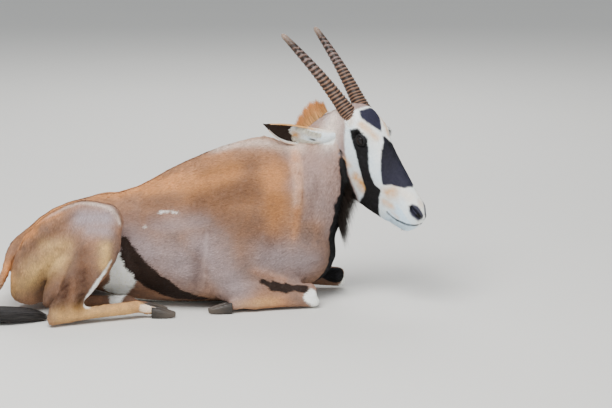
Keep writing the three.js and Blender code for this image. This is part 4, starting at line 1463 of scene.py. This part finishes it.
@dataclass
class Ear:
    """A leaf-shaped ear, a tube at its root that opens into a cup.

    Args:
        side: the side of the head.
        steps: rings from the root to the tip.
        arc: faces across the wall.
        width: how wide it is at most.
        wall: how thick it is.
        bow: how far its middle bends back.
        tuck: how far its root would run into the head over its whole length.
        widths: its width on the way from the root to the tip, as a share of the widest.
        depths: its depth, as a share of half its width there.
        hollows: how far its inner wall lies back, as a share of its depth there.
    """

    side: Side
    steps: int = 44
    arc: int = 20
    width: float = 60
    wall: float = 2.4
    bow: float = 10
    tuck: float = 420
    widths: Row = (0.66, 0.82, 0.93, 1, 0.98, 0.78, 0.44, 0.05)
    depths: Row = (0.9, 0.85, 0.8, 0.75, 0.66, 0.52, 0.4, 0.6)
    hollows: Row = (-0.8, -0.7, -0.1, 0.66, 0.86, 0.84, 0.66, 0.1)
    fields: dict[str, Points] = field(init=False)

    def axes(self) -> tuple[Points, Points, Points, float]:
        """The ear's root and tip, the direction that it opens to, and how far its middle sags."""
        if self.side is Side.RIGHT:
            return np.array([376.0, -34, 455]), np.array([199.0, -66, 500]), np.array([0.1, -0.9, -0.35]), -20
        return from_head((4, 46, -84)), np.array([477.0, 232, 452]), np.array([0.75, 0.1, -0.35]), 12

    def build(self) -> bpy.types.Object:
        """Builds the ear's two walls and works out its colours and the lie of its hair."""
        root, tip, opening, sag = self.axes()
        along = unit(tip - root)
        across = unit(np.cross(along, opening))
        front = np.cross(across, along)
        places, t_all, s_all, inner_all = [], [], [], []
        for i in range(-4, self.steps + 1):
            t = i / self.steps
            half = self.width / 2 * float(through(self.widths, t))
            depth = half * float(through(self.depths, t))
            wall = min(self.wall, half * 0.4)
            hollow = float(through(self.hollows, t))
            bend = math.sin(math.pi * max(t, 0))
            inwards = self.tuck * max(-t, 0) * unit(HEAD_PLACE - root + (-20, 0, -60))
            half, depth = half * (1 + 4 * min(t, 0)), depth * (1 + 4 * min(t, 0))
            middle = root + (tip - root) * max(t, 0) + inwards - self.bow * bend * front + sag * bend * across
            ring = [(k, half, depth, 0) for k in range(self.arc + 1)]
            ring += [(k, half - wall, depth * hollow, 1) for k in range(self.arc, -1, -1)]
            ring.append(ring[0])
            row = []
            for k, wide, deep, inner in ring:
                a = math.pi * (k / self.arc - 0.5)
                ripple = 0.8 * math.sin(9 * a + 5 * t) * math.sin(math.pi * t) * inner
                row.append(middle + across * wide * math.sin(a) - front * (deep * math.cos(a) + ripple - 0.6 * inner))
                t_all.append(t)
                s_all.append(math.sin(a))
                inner_all.append(inner)
            places.append(row)
        thing = sheet("ear_" + self.side.word + "_shell", np.array(places))
        self._store(points_of(thing), np.array(places).reshape(-1, 3), np.array([t_all, s_all, inner_all]).T, along)
        return thing

    def _store(self, points: Points, places: Points, where: Points, along: Points) -> None:
        """Works out the ear's colours.

        Args:
            points: the mesh's vertices.
            places: the places that they were made from.
            where: for each place the way along, the way across and whether it is on the inner wall.
            along: the direction from the root to the tip.
        """
        t, s, inner = where[nearest(places, points)].T
        s = s * (1 if self.side is Side.RIGHT else -1)
        cup = (t - 0.52 - 0.07 * s + 0.09 * s * s) * 150 + 5 * wander(points, 19)
        slit = (1 - np.hypot((t - 0.2) / 0.05, (s + 0.1) / 0.13)) * 5
        tip = (t - 0.9) * 190
        rim = smoothstep(0.9, 0.985, np.abs(s))
        mark = np.where(inner > 0.5, np.maximum(np.maximum(cup, slit), tip), tip)
        yellow = 1.2 * np.exp(-(((t - 0.44) / 0.08) ** 2) - ((s + 0.3) / 0.6) ** 2)
        yellow = yellow + 0.5 * np.exp(-(((t - 0.13) / 0.06) ** 2) - ((s + 0.6) / 0.4) ** 2)
        self.fields = {
            "mark": np.where((rim > 0.5) & (t > 0.3), np.minimum(mark, (t - 0.88) * 190), mark),
            "white": np.where(inner > 0.5, 12 - 6 * rim, -10 + 22 * smoothstep(0.4, 0.05, t) + 6 * (s > 0.3)),
            "blush": np.clip(0.5 * rim * (s > 0) * smoothstep(0.1, 0.3, t) + 0.3 * rim + 0.75 * inner * yellow, 0, 1),
            "cool": 0.4 * inner,
            "blue_black_and_sheen": 0 * t,
            "flow": np.repeat(along[None], len(points), axis=0),
        }


def unwrap(thing: bpy.types.Object) -> None:
    """Unwraps a piece over one picture, as the map that its tufts share."""
    while thing.data.uv_layers:
        thing.data.uv_layers.remove(thing.data.uv_layers[0])
    thing.data.uv_layers.new(name="OFBake")
    edit(thing, lambda: bpy.ops.uv.smart_project(angle_limit=math.radians(66), island_margin=0.001))


# Hair


@dataclass
class Hairs:
    """Roots of hair with everything that its blades need, one row a hair, in millimetres."""

    root: Points
    normal: Points
    flow: Points
    length: Points
    width: Points
    lift: Points
    patch: Points
    fields: dict[str, Points]
    pull: Points | None = None

    def picked(self, chosen: Points) -> "Hairs":
        """The hairs that a mask or a slice picks."""
        pull = None if self.pull is None else self.pull[chosen]
        columns = [getattr(self, k)[chosen] for k in ("root", "normal", "flow", "length", "width", "lift", "patch")]
        return Hairs(*columns, {k: value[chosen] for k, value in self.fields.items()}, pull)


PATCH = 0.003  # the side of a blade's patch on the map
ROOT_SINKS = 0.4  # millimetres from the skin down to a blade's root
FLOOR_GAP = 0.3  # millimetres that hair keeps from the floor


def blades(name: str, hairs: Hairs, profile: Row, seed: int) -> bpy.types.Object:
    """Flat tapered blades, each from its root along the skin to its tip.

    Args:
        name: the piece's name.
        hairs: the roots.
        profile: the share of the width at each step from the root to the last before the tip.
        seed: where the chances start.

    Returns:
        The piece, with a map on which each blade is a small patch at its root.
    """
    draw = np.random.default_rng(seed)
    count, steps = len(hairs.root), len(profile)
    twist = draw.uniform(-0.5, 0.5, (count, 1))
    side = unit(np.cross(hairs.flow, hairs.normal)) * np.cos(twist) + hairs.normal * np.sin(twist)
    pull = np.zeros((count, 3)) if hairs.pull is None else hairs.pull
    rings = []
    for step in range(steps + 1):
        s = step / steps
        rise = (hairs.lift * s * (1 - 0.45 * s))[:, None] * hairs.length[:, None]
        sink = ROOT_SINKS if step == 0 else 0
        middle = hairs.root + hairs.flow * (hairs.length * s)[:, None] + hairs.normal * (rise - sink) + pull * s * s
        half = side * (hairs.width * (profile[step] if step < steps else 0) / 2)[:, None]
        rings += [middle - half, middle + half] if step < steps else [middle]
    corners = np.stack(rings, axis=1)
    corners[..., 2] = np.maximum(corners[..., 2], FLOOR_GAP)
    each = 2 * steps + 1
    start = np.arange(count)[:, None] * each
    quads = np.concatenate([start + np.array([2 * k, 2 * k + 1, 2 * k + 3, 2 * k + 2]) for k in range(steps - 1)])
    tips = start + np.array([2 * steps - 2, 2 * steps - 1, 2 * steps])
    mesh = bpy.data.meshes.new(name)
    mesh.vertices.add(count * each)
    mesh.vertices.foreach_set("co", (corners * MM).ravel())
    loops = np.concatenate([quads.ravel(), tips.ravel()])
    mesh.loops.add(len(loops))
    mesh.loops.foreach_set("vertex_index", loops.astype(np.int32))
    mesh.polygons.add(len(quads) + len(tips))
    starts = np.concatenate([np.arange(len(quads)) * 4, len(quads) * 4 + np.arange(len(tips)) * 3])
    mesh.polygons.foreach_set("loop_start", starts.astype(np.int32))
    mesh.polygons.foreach_set("use_smooth", np.ones(len(starts), bool))
    mesh.update(calc_edges=True)
    thing = bpy.data.objects.new(name, mesh)
    bpy.context.scene.collection.objects.link(thing)
    along = np.array([*np.repeat(np.arange(steps), 2), steps]) / steps
    across, up = np.array([-1, 1] * steps + [0]) * (PATCH / 2), along * PATCH - PATCH / 2
    spots = hairs.patch[:, None, :] + np.stack([across, up], axis=1)[None]
    layer = mesh.uv_layers.new(name="OFBake")
    layer.data.foreach_set("uv", spots.reshape(-1, 2)[loops].astype(np.float32).ravel())
    for key, values in hairs.fields.items():
        give(thing, key, np.repeat(values, each))
    give(thing, "tip", np.tile(along, count))
    give(thing, "shade", np.repeat(draw.uniform(0, 1, count), each))
    return thing


@dataclass
class Sower:
    """Scatters hair roots over the skin.

    Args:
        skin: the dressed skin.
        scatter: how unevenly the hairs lie.
    """

    skin: Skin
    scatter: float = 0.13

    def __post_init__(self) -> None:
        """Reads the skin's triangles and its map once."""
        thing = self.skin.shape
        self.points = points_of(thing)
        self.corners, self.loops = triangles_of(thing)
        flat = np.empty(len(thing.data.loops) * 2, np.float32)
        thing.data.uv_layers["OFBake"].data.foreach_get("uv", flat)
        self.map = flat.reshape(-1, 2)
        a, b, c = (self.points[self.corners[:, k]] for k in range(3))
        self.areas = np.linalg.norm(np.cross(b - a, c - a), axis=1) / 2

    def sow(self, count: int, weight: Points, seed: int) -> Hairs:
        """Picks roots by area and by a weight on the skin's vertices.

        Args:
            count: how many hairs.
            weight: how densely they grow at each vertex.
            seed: where the chances start.

        Returns:
            The hairs, as long as the coat and lying flat.
        """
        draw = np.random.default_rng(seed)
        chance = self.areas * weight[self.corners].mean(1)
        picked = draw.choice(len(chance), count, p=chance / chance.sum())
        mix = draw.dirichlet((1, 1, 1), count)

        def blend(values: Points) -> Points:
            """A vertex value at each root."""
            corners = values[self.corners[picked]]
            return np.einsum("nk,nk...->n...", mix, corners)

        fields = self.skin.fields
        normal = unit(blend(fields["normal"]))
        flow = blend(fields["flow"]) + draw.normal(0, self.scatter, (count, 3))
        flow = unit(flow - (flow * normal).sum(1, keepdims=True) * normal)
        length = blend(fields["length"]) * draw.uniform(0.7, 1.25, count)
        patch = np.einsum("nk,nkd->nd", mix, self.map[self.loops[picked]])
        marks = ("mark", "white", "warm", "lilac", "brown", "cream", "highlight_and_pale_hair", "blush", "cool", "blue_black_and_sheen", "umber")
        return Hairs(
            root=blend(self.points),
            normal=normal,
            flow=flow,
            length=length,
            width=length * 0.12 + 0.4,
            lift=draw.uniform(0.06, 0.24, count),
            patch=patch,
            fields={key: blend(fields[key]) for key in marks},
        )


@dataclass
class Coat:
    """The short flat coat, in pieces that each stay under the limit on faces.

    Args:
        skin: the dressed skin.
        sower: what scatters its roots.
        body_count: how many tufts the body has.
        face_count: how many tufts the head and the ears have.
        each: how many tufts go into one piece.
        usual_length: the length in millimetres at which they grow as densely as anywhere.
        profile: the share of a tuft's width at its root and at its middle.
    """

    skin: Skin
    sower: Sower
    body_count: int = 300000
    face_count: int = 120000
    each: int = 60000
    usual_length: float = 8
    profile: Row = (0.85, 1.0)

    def build(self) -> list[bpy.types.Object]:
        """Sows the body and the face and makes their tufts."""
        fields = self.skin.fields
        hidden = smoothstep(-0.5, -0.9, fields["normal"][:, 2]) * smoothstep(60, 20, self.sower.points[:, 2])
        open_skin = (1 - fields["bare"]) * (1 - 0.8 * hidden)
        face = fields["face"]
        body = self.sower.sow(self.body_count, open_skin * (1 - face) * self.usual_length / fields["length"], 11)
        head = self.sower.sow(self.face_count, open_skin * face, 12)
        pieces = []
        for name, hairs in (("coat_body", body), ("coat_face", head)):
            for number, start in enumerate(range(0, len(hairs.root), self.each)):
                part = hairs.picked(slice(start, start + self.each))
                pieces.append(blades(f"{name}_{number + 1}", part, self.profile, 30 + number))
        finish = HideFinish("coat_hair", hair=True).material()
        for piece in pieces:
            piece.data.materials.append(finish)
        return pieces


def nearest_patch(sower: Sower, places: Points) -> Points:
    """The skin's map at the vertex nearest to each place."""
    map_of = np.zeros((len(sower.points), 2))
    map_of[sower.corners.ravel()] = sower.map[sower.loops.ravel()]
    return map_of[nearest(sower.points, places)]


@dataclass
class LongHair:
    """Long hair of one colour, with one row a hair, in millimetres.

    Args:
        name: the piece's name.
        finish: its colours.
        root: where each hair starts.
        normal: the direction that its flat side faces.
        flow: the direction that it sets out in.
        length: how long it is.
        width: how wide it is.
        pull: how far its tip is drawn aside.
        seed: where the chances start.
        profile: the share of the width at each step from the root to the last before the tip.
    """

    name: str
    finish: HairFinish
    root: Points
    normal: Points
    flow: Points
    length: Points
    width: Points
    pull: Points
    seed: int
    profile: Row = (0.7, 1, 0.9, 0.65, 0.35)

    def build(self, sower: Sower) -> bpy.types.Object:
        """Makes the blades and dresses them."""
        lift, patch = np.zeros(len(self.root)), nearest_patch(sower, self.root)
        way = (self.root, unit(self.normal), unit(self.flow))
        hairs = Hairs(*way, self.length, self.width, lift, patch, {}, self.pull)
        thing = blades(self.name, hairs, self.profile, self.seed)
        thing.data.materials.append(self.finish.material())
        log.info("%s: %d hairs", self.name, len(self.root))
        return thing


def mane() -> LongHair:
    """The erect mane, which leans forward as it rises."""
    draw = np.random.default_rng(41)
    count = 3600
    t = np.clip(0.6 + 0.36 * draw.beta(1.5, 1.3, count), 0, 1)
    angle = draw.normal(0, 0.12, count)
    height = 44 * through([0.4, 0.7, 0.9, 1, 0.9, 0.6], (t - 0.6) / 0.36) * draw.uniform(0.45, 1.1, count)
    root, rise = NECK.all_on(t, angle, 0.97), NECK.all_out(t, angle)
    axes = [NECK.axes(a) for a in t]
    along, side = np.array([a[0] for a in axes]), np.array([a[1] for a in axes])
    clump = 0.14 * np.sin(t * 95) + draw.normal(0, 0.1, count)
    flow = rise + along * (draw.uniform(0.2, 0.5, count) + clump)[:, None] + side * draw.normal(0, 0.13, (count, 1))
    finish = HairFinish("mane_hair", linear(228, 180, 118), linear(206, 136, 74))
    width = draw.uniform(0.7, 1.3, count)
    pull = along * (height * 0.3)[:, None]
    return LongHair("mane", finish, root, side, flow, height, width, pull, 42)


def throat_tuft() -> LongHair:
    """The dark tuft that hangs from the front of the neck under the jaw."""
    draw = np.random.default_rng(51)
    count = 3400
    t = draw.uniform(0.2, 0.48, count)
    angle = math.pi + np.clip(draw.normal(0, 0.24, count), -0.5, 0.5)
    length = 74 * draw.uniform(0.5, 1.0, count) * np.clip(1 - 0.7 * np.abs(angle - math.pi), 0.2, 1)
    root, rise = NECK.all_on(t, angle, 0.97), NECK.all_out(t, angle)
    flow = rise * draw.uniform(0.3, 0.7, (count, 1)) + np.array([0, 0, -0.6]) + draw.normal(0, 0.06, (count, 3))
    finish = HairFinish("throat_hair", linear(30, 25, 22), linear(52, 40, 32))
    pull = length[:, None] * (0, 0, -0.35)
    width = draw.uniform(1.2, 2.4, count)
    return LongHair("throat_tuft", finish, root, rise, flow, length, width, pull, 52)


def tail_tuft() -> LongHair:
    """The long dark tuft of the tail, which lies on the floor."""
    draw = np.random.default_rng(61)
    count = 5200
    t = draw.uniform(0.0, 0.72, count)
    angle = draw.uniform(0, 2 * math.pi, count)
    scale = draw.uniform(0.55, 1.0, count)
    root = TUFT.all_on(t, angle, scale)
    span = draw.uniform(0.2, 0.34, count)
    drift = angle + draw.normal(0, 0.25, count)
    end = TUFT.all_on(np.minimum(t + span, 1), drift, scale * 1.08)
    middle = TUFT.all_on(np.minimum(t + span / 2, 1), (angle + drift) / 2, scale * 1.06)
    chord = end - root
    length = np.linalg.norm(chord, axis=1)
    bow = 2 * (middle - (root + end) / 2)
    flow = chord + 2 * bow
    out = TUFT.all_out(t, angle)
    finish = HairFinish("tail_hair", linear(26, 24, 25), linear(56, 52, 50))
    pull = end - root - unit(flow) * length[:, None]
    width = draw.uniform(1.4, 3.2, count)
    return LongHair("tail_locks", finish, root, out, flow, length, width, pull, 62)


def ear_hair(side: Side) -> LongHair:
    """The long white hair inside an ear."""
    draw = np.random.default_rng(71 if side is Side.RIGHT else 72)
    ear = Ear(side)
    root, tip, opening, sag = ear.axes()
    along = unit(tip - root)
    across = unit(np.cross(along, opening))
    front = np.cross(across, along)
    count = 800
    t = draw.uniform(0.1, 0.44, count)
    upper = 1 if side is Side.RIGHT else -1
    s = upper * draw.choice((-1, 1, 1), count) * draw.uniform(0.45, 0.93, count)
    half = ear.width / 2 * through(ear.widths, t) - ear.wall
    depth = (half + ear.wall) * through(ear.depths, t)
    depth *= through(ear.hollows, t)
    bend = np.sin(math.pi * t)[:, None]
    middle = root + (tip - root) * t[:, None] - ear.bow * bend * front + sag * bend * across
    start = middle + across * (half * s)[:, None] - front * (depth * np.sqrt(1 - s * s) - 0.6)[:, None]
    flow = along * draw.uniform(0.4, 1, (count, 1)) - across * s[:, None] * 0.5
    flow = flow + front * draw.uniform(0.1, 0.5, (count, 1))
    length = draw.uniform(7, 17, count)
    finish = HairFinish("ear_hair_" + side.word, linear(222, 214, 190), linear(240, 238, 230))
    normal = np.repeat(front[None], count, axis=0)
    width = draw.uniform(0.8, 1.4, count)
    pull = -across * (s * length * 0.25)[:, None]
    return LongHair("ear_hair_" + side.word, finish, start, normal, flow, length, width, pull, 73)


def lashes(side: Side) -> LongHair:
    """The dark lashes of an upper lid."""
    draw = np.random.default_rng(91)
    count = 130
    u = draw.uniform(-0.95, 0.8, count)
    c, n = math.cos(EYE.tilt), math.sin(EYE.tilt)
    axis, lift = np.array([c, 0, -n]), np.array([n, 0, c])
    along, up = u * EYE.half_length, EYE.upper * (1 - u * u) + draw.uniform(0.2, 1.4, count)
    out = np.sqrt(np.maximum((EYE.radius + 1.6) ** 2 - along**2 - up**2, 4))
    place = np.array(EYE.middle) + along[:, None] * axis + up[:, None] * lift + out[:, None] * np.array([0, 1, 0])
    way = u[:, None] * axis * 0.7 + lift * draw.uniform(0.05, 0.5, (count, 1)) + np.array([0, 1, 0])
    length = draw.uniform(7, 12, count) * (1.1 - 0.4 * np.abs(u))
    pull = lift * (length * -0.15)[:, None]
    turned = [rows * (1, side.value, 1) @ HEAD_TURN.T for rows in (way, pull, np.repeat(axis[None], count, axis=0))]
    root = from_head(place * (1, side.value, 1))
    finish = HairFinish("lash_" + side.word, linear(12, 10, 10), linear(30, 24, 22))
    width = draw.uniform(0.45, 0.8, count)
    return LongHair("lashes_" + side.word, finish, root, turned[2], turned[0], length, width, turned[1], 92)


def chin_bristles() -> LongHair:
    """The stiff hairs of the chin and the lips."""
    draw = np.random.default_rng(95)
    count = 150
    x = draw.uniform(296, 352, count)
    angle = np.radians(draw.uniform(118, 242, count))
    down, half = np.interp(x, (300, 326, 342, 352), (68, 55, 45, 38)), np.interp(x, (300, 342, 352), (35, 29, 22))
    out = np.column_stack([0.5 + 0 * x, np.sin(angle), np.cos(angle)])
    place = np.column_stack([x, half * np.sin(angle), -43 + down * np.cos(angle)])
    length = draw.uniform(4, 11, count)
    flow = (out + draw.normal(0, 0.2, (count, 3))) @ HEAD_TURN.T
    finish = HairFinish("bristle", linear(70, 60, 54), linear(150, 144, 138))
    normal = np.cross(flow, (0, 0, 1))
    width, pull = np.full(count, 0.35), np.zeros((count, 3))
    return LongHair("chin_bristles", finish, from_head(place), normal, flow, length, width, pull, 96)


# Hard parts


@dataclass
class Horn:
    """A slightly bowed horn with uneven rings up to its smooth tip.

    Args:
        side: the side of the head.
        rings: how many rings it has.
        ringed_part: the share of its length that they take up.
        profile: its radius on the way from the root to the tip.
        bow: how far its middle bends up.
        steps: faces along it.
        below: more faces, under the skin.
        count: faces round it.
    """

    side: Side
    rings: int = 22
    ringed_part: float = 0.88
    profile: Row = (25, 21, 18.4, 16.4, 14.4, 12.6, 10.4, 8.2)
    bow: float = 9
    steps: int = 280
    below: int = 18
    count: int = 44

    def build(self) -> bpy.types.Object:
        """Builds the horn and stores the rings on it."""
        sign = self.side.value
        root, tip = np.array([12.0, sign * 29, -8]), np.array([-285.0, sign * 78, -17 - sign * 6])
        along = unit(tip - root)
        side = unit(np.cross(along, (0, 0, 1)))
        up = np.cross(side, along)
        draw = np.random.default_rng(81 + sign)
        gaps = np.linspace(0.62, 1.5, self.rings + 2) * draw.uniform(0.8, 1.2, self.rings + 2)
        shift = np.cumsum(gaps)
        shift = (shift - shift[0]) / (shift[-1] - shift[0]) * (self.rings + 1)
        angles = np.linspace(0, 2 * math.pi, self.count + 1)
        places, ring_all, along_all = [], [], []
        for i in range(-self.below, self.steps + 1):
            t = i / self.steps
            slant = 0.3 * np.cos(angles) + 0.16 * np.sin(3 * angles + 1 + 9 * t) * max(t, 0.2)
            turn = np.interp(max(t, 0) / self.ringed_part * self.rings, shift, np.arange(self.rings + 2)) + slant
            turn = turn + min(t, 0) * 40
            wave = 0.5 + 0.5 * np.cos(2 * math.pi * turn)
            fade = max(0.0, 1 - (max(t, 0) / 0.93) ** 6)
            ring = wave**1.6 * fade
            blunt = math.sqrt(max(0.004, 1 - max(0.0, (t - 0.95) / 0.05) ** 2))
            size = float(through(self.profile, max(t, 0))) * (1 + 0.6 * min(t, 0))
            relief = 0.07 + 0.05 * max(t, 0)
            r = size * blunt * (1.02 - relief + relief * ring * (1 + 0.4 * np.cos(angles + 3 * t)))
            middle = root + (tip - root) * t + self.bow * math.sin(math.pi * max(t, 0)) * up
            r = r * (1 + 0.012 * np.cos(11 * angles) * fade)
            places.append(middle + (r * np.cos(angles))[:, None] * up + (r * np.sin(angles))[:, None] * side)
            ring_all.append(ring)
            along_all.append(np.full(len(angles), t))
        rows = from_head(np.concatenate(places))
        thing = sheet("horn_" + self.side.word + "_ringed", rows.reshape(len(places), -1, 3))
        found = nearest(rows, points_of(thing))
        give(thing, "ring", np.concatenate(ring_all)[found])
        give(thing, "along", np.concatenate(along_all)[found])
        return finished(thing, HornFinish().material())


@dataclass
class EyeBall:
    """An eyeball with a bulging clear front and a long pupil."""

    side: Side

    def build(self) -> bpy.types.Object:
        """Builds the ball and stores its rings."""
        bpy.ops.object.select_all(action="DESELECT")
        bpy.ops.mesh.primitive_uv_sphere_add(segments=64, ring_count=40, radius=1)
        thing = fresh("eyeball_" + self.side.word)
        ball = points_of(thing) * MM
        outward = unit(np.array([0.18, 1.0, 0.16]))
        level = unit(np.cross(outward, (0, 0, 1)))
        upright = np.cross(level, outward)
        turned = ball[:, :1] * level + ball[:, 1:2] * upright + ball[:, 2:3] * outward
        facing = ball[:, 2]
        bulge = 1 + 0.05 * smoothstep(0.72, 0.95, facing)
        place = turned * (EYE.radius * bulge)[:, None] + np.array(EYE.middle)
        place[:, 1] *= self.side.value
        place_points(thing, from_head(place))
        give(thing, "iris", np.hypot(ball[:, 0], ball[:, 1]) / 0.72 + np.where(facing < 0, 2, 0))
        give(thing, "pupil", np.where(facing > 0, 1 - np.hypot(ball[:, 0] / 0.42, ball[:, 1] / 0.2), -1))
        edit(thing, lambda: bpy.ops.mesh.normals_make_consistent(inside=False))
        return finished(thing, EyeFinish().material())


@dataclass
class Hooves:
    """The eight claws, rounded from their solids and worn towards the tips."""

    voxel: float = 1.6

    def build(self) -> list[bpy.types.Object]:
        """Builds each claw."""
        finish = HoofFinish().material()
        made = []
        for node in [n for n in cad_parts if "hoof" in n]:
            thing = closed_copy(node, 0)
            thing.name = node + "_horn"
            apply(thing, "REMESH", mode="VOXEL", voxel_size=self.voxel * MM)
            points = points_of(thing)
            points = relaxed(points, edges_of(thing), np.ones(len(points)), 12)
            place_points(thing, points)
            growth_lines = 0.3 * np.sin(points[:, 2] * 1.6 + 0.1 * points[:, 0])
            points = points + growth_lines[:, None] * normals_of(thing)
            points[:, 2] = np.maximum(points[:, 2], 0)
            place_points(thing, points)
            low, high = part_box(node)
            forward = 1 if node.startswith("hind") else -1
            start = low.x if forward > 0 else high.x
            give(thing, "worn", np.clip(forward * (points[:, 0] - start / MM) / 64, 0, 1))
            finished(thing, finish)
            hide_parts(node)
            made.append(thing)
        return made


@dataclass
class Studio:
    """The floor, the soft lights and the camera at the photograph's angle.

    Args:
        target: the place that the camera looks at.
        distance: how far away it stands.
        azimuth: how far it is turned round the animal, in degrees.
        elevation: how far it looks down, in degrees.
        focal: the length of its lens.
        lights: each light's name, its place and size in metres and its power in watts.
        lit: the place that the lights face, in metres.
    """

    target: Row = (315, -60, 274)
    distance: float = 7250
    azimuth: float = -5
    elevation: float = 12
    focal: float = 2636 / 612 * 36
    lights: tuple[tuple[str, Row, float, float], ...] = (
        ("overhead", (-0.9, -1.8, 3.6), 2.4, 235.0),
        ("front_fill", (2.5, -4.0, 1.6), 3.5, 62.0),
        ("back_rim", (0.4, 3.2, 2.8), 2.5, 90.0),
    )
    lit: Row = (0.1, -0.05, 0.3)

    def build(self) -> None:
        """Sets up the floor, the lights, the sky and the camera."""
        bpy.ops.object.select_all(action="DESELECT")
        bpy.ops.mesh.primitive_plane_add(size=60)
        floor = fresh("floor")
        floor.data.materials.append(FloorFinish().material())
        for name, place, size, power in self.lights:
            light = bpy.data.lights.new(name, "AREA")
            light.size = size
            light.energy = power
            lamp = bpy.data.objects.new(name, light)
            bpy.context.scene.collection.objects.link(lamp)
            lamp.location = place
            lamp.rotation_euler = (Vector(self.lit) - Vector(place)).to_track_quat("-Z", "Y").to_euler()
        world = bpy.data.worlds.new("soft_sky")
        world.use_nodes = True
        sky = world.node_tree.nodes["Background"]
        sky.inputs["Color"].default_value = linear(225, 230, 236)
        sky.inputs["Strength"].default_value = 0.62
        bpy.context.scene.world = world
        a, e = math.radians(self.azimuth), math.radians(self.elevation)
        back = Vector((math.sin(a) * math.cos(e), -math.cos(a) * math.cos(e), math.sin(e)))
        camera = bpy.data.objects.new("camera", bpy.data.cameras.new("camera"))
        bpy.context.scene.collection.objects.link(camera)
        camera.location = (Vector(self.target) + back * self.distance) * MM
        camera.rotation_euler = (-back).to_track_quat("-Z", "Y").to_euler()
        camera.data.lens = self.focal
        camera.data.sensor_width = 36
        camera.data.clip_start = 0.1
        camera.data.clip_end = 200
        bpy.context.scene.camera = camera


def keep(piece: bpy.types.Object) -> None:
    """Lets a finished piece ride on the body and logs its triangles."""
    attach(piece, "root")
    log.info("%s: %d triangles", piece.name, sum(len(p.vertices) - 2 for p in piece.data.polygons))


def main() -> None:
    """Builds every piece in order, from the skin outwards, and then the studio."""
    skin = Skin()
    hide = skin.build()
    unwrap(hide)
    finished(hide, HideFinish("hide_skin", hair=False).material())
    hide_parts(*skin.flesh())
    keep(hide)
    sower = Sower(skin)
    for piece in Coat(skin, sower).build():
        keep(piece)
    on_face = [*(ear_hair(side) for side in Side), *(lashes(side) for side in Side), chin_bristles()]
    slots = ["hide", "tail_hair", "tail_hair", *["face"] * len(on_face)]
    for hair, slot in zip([mane(), throat_tuft(), tail_tuft(), *on_face], slots):
        piece = hair.build(sower)
        if piece.name == "tail_locks":
            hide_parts("tail_tuft")
        keep(piece)
    for side in Side:
        horn = Horn(side).build()
        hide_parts("horn_" + side.word)
        keep(horn)
        ball = EyeBall(side).build()
        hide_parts("eye_" + side.word)
        keep(ball)
    for claw in Hooves().build():
        keep(claw)
    Studio().build()


if __name__ == "__main__":
    main()
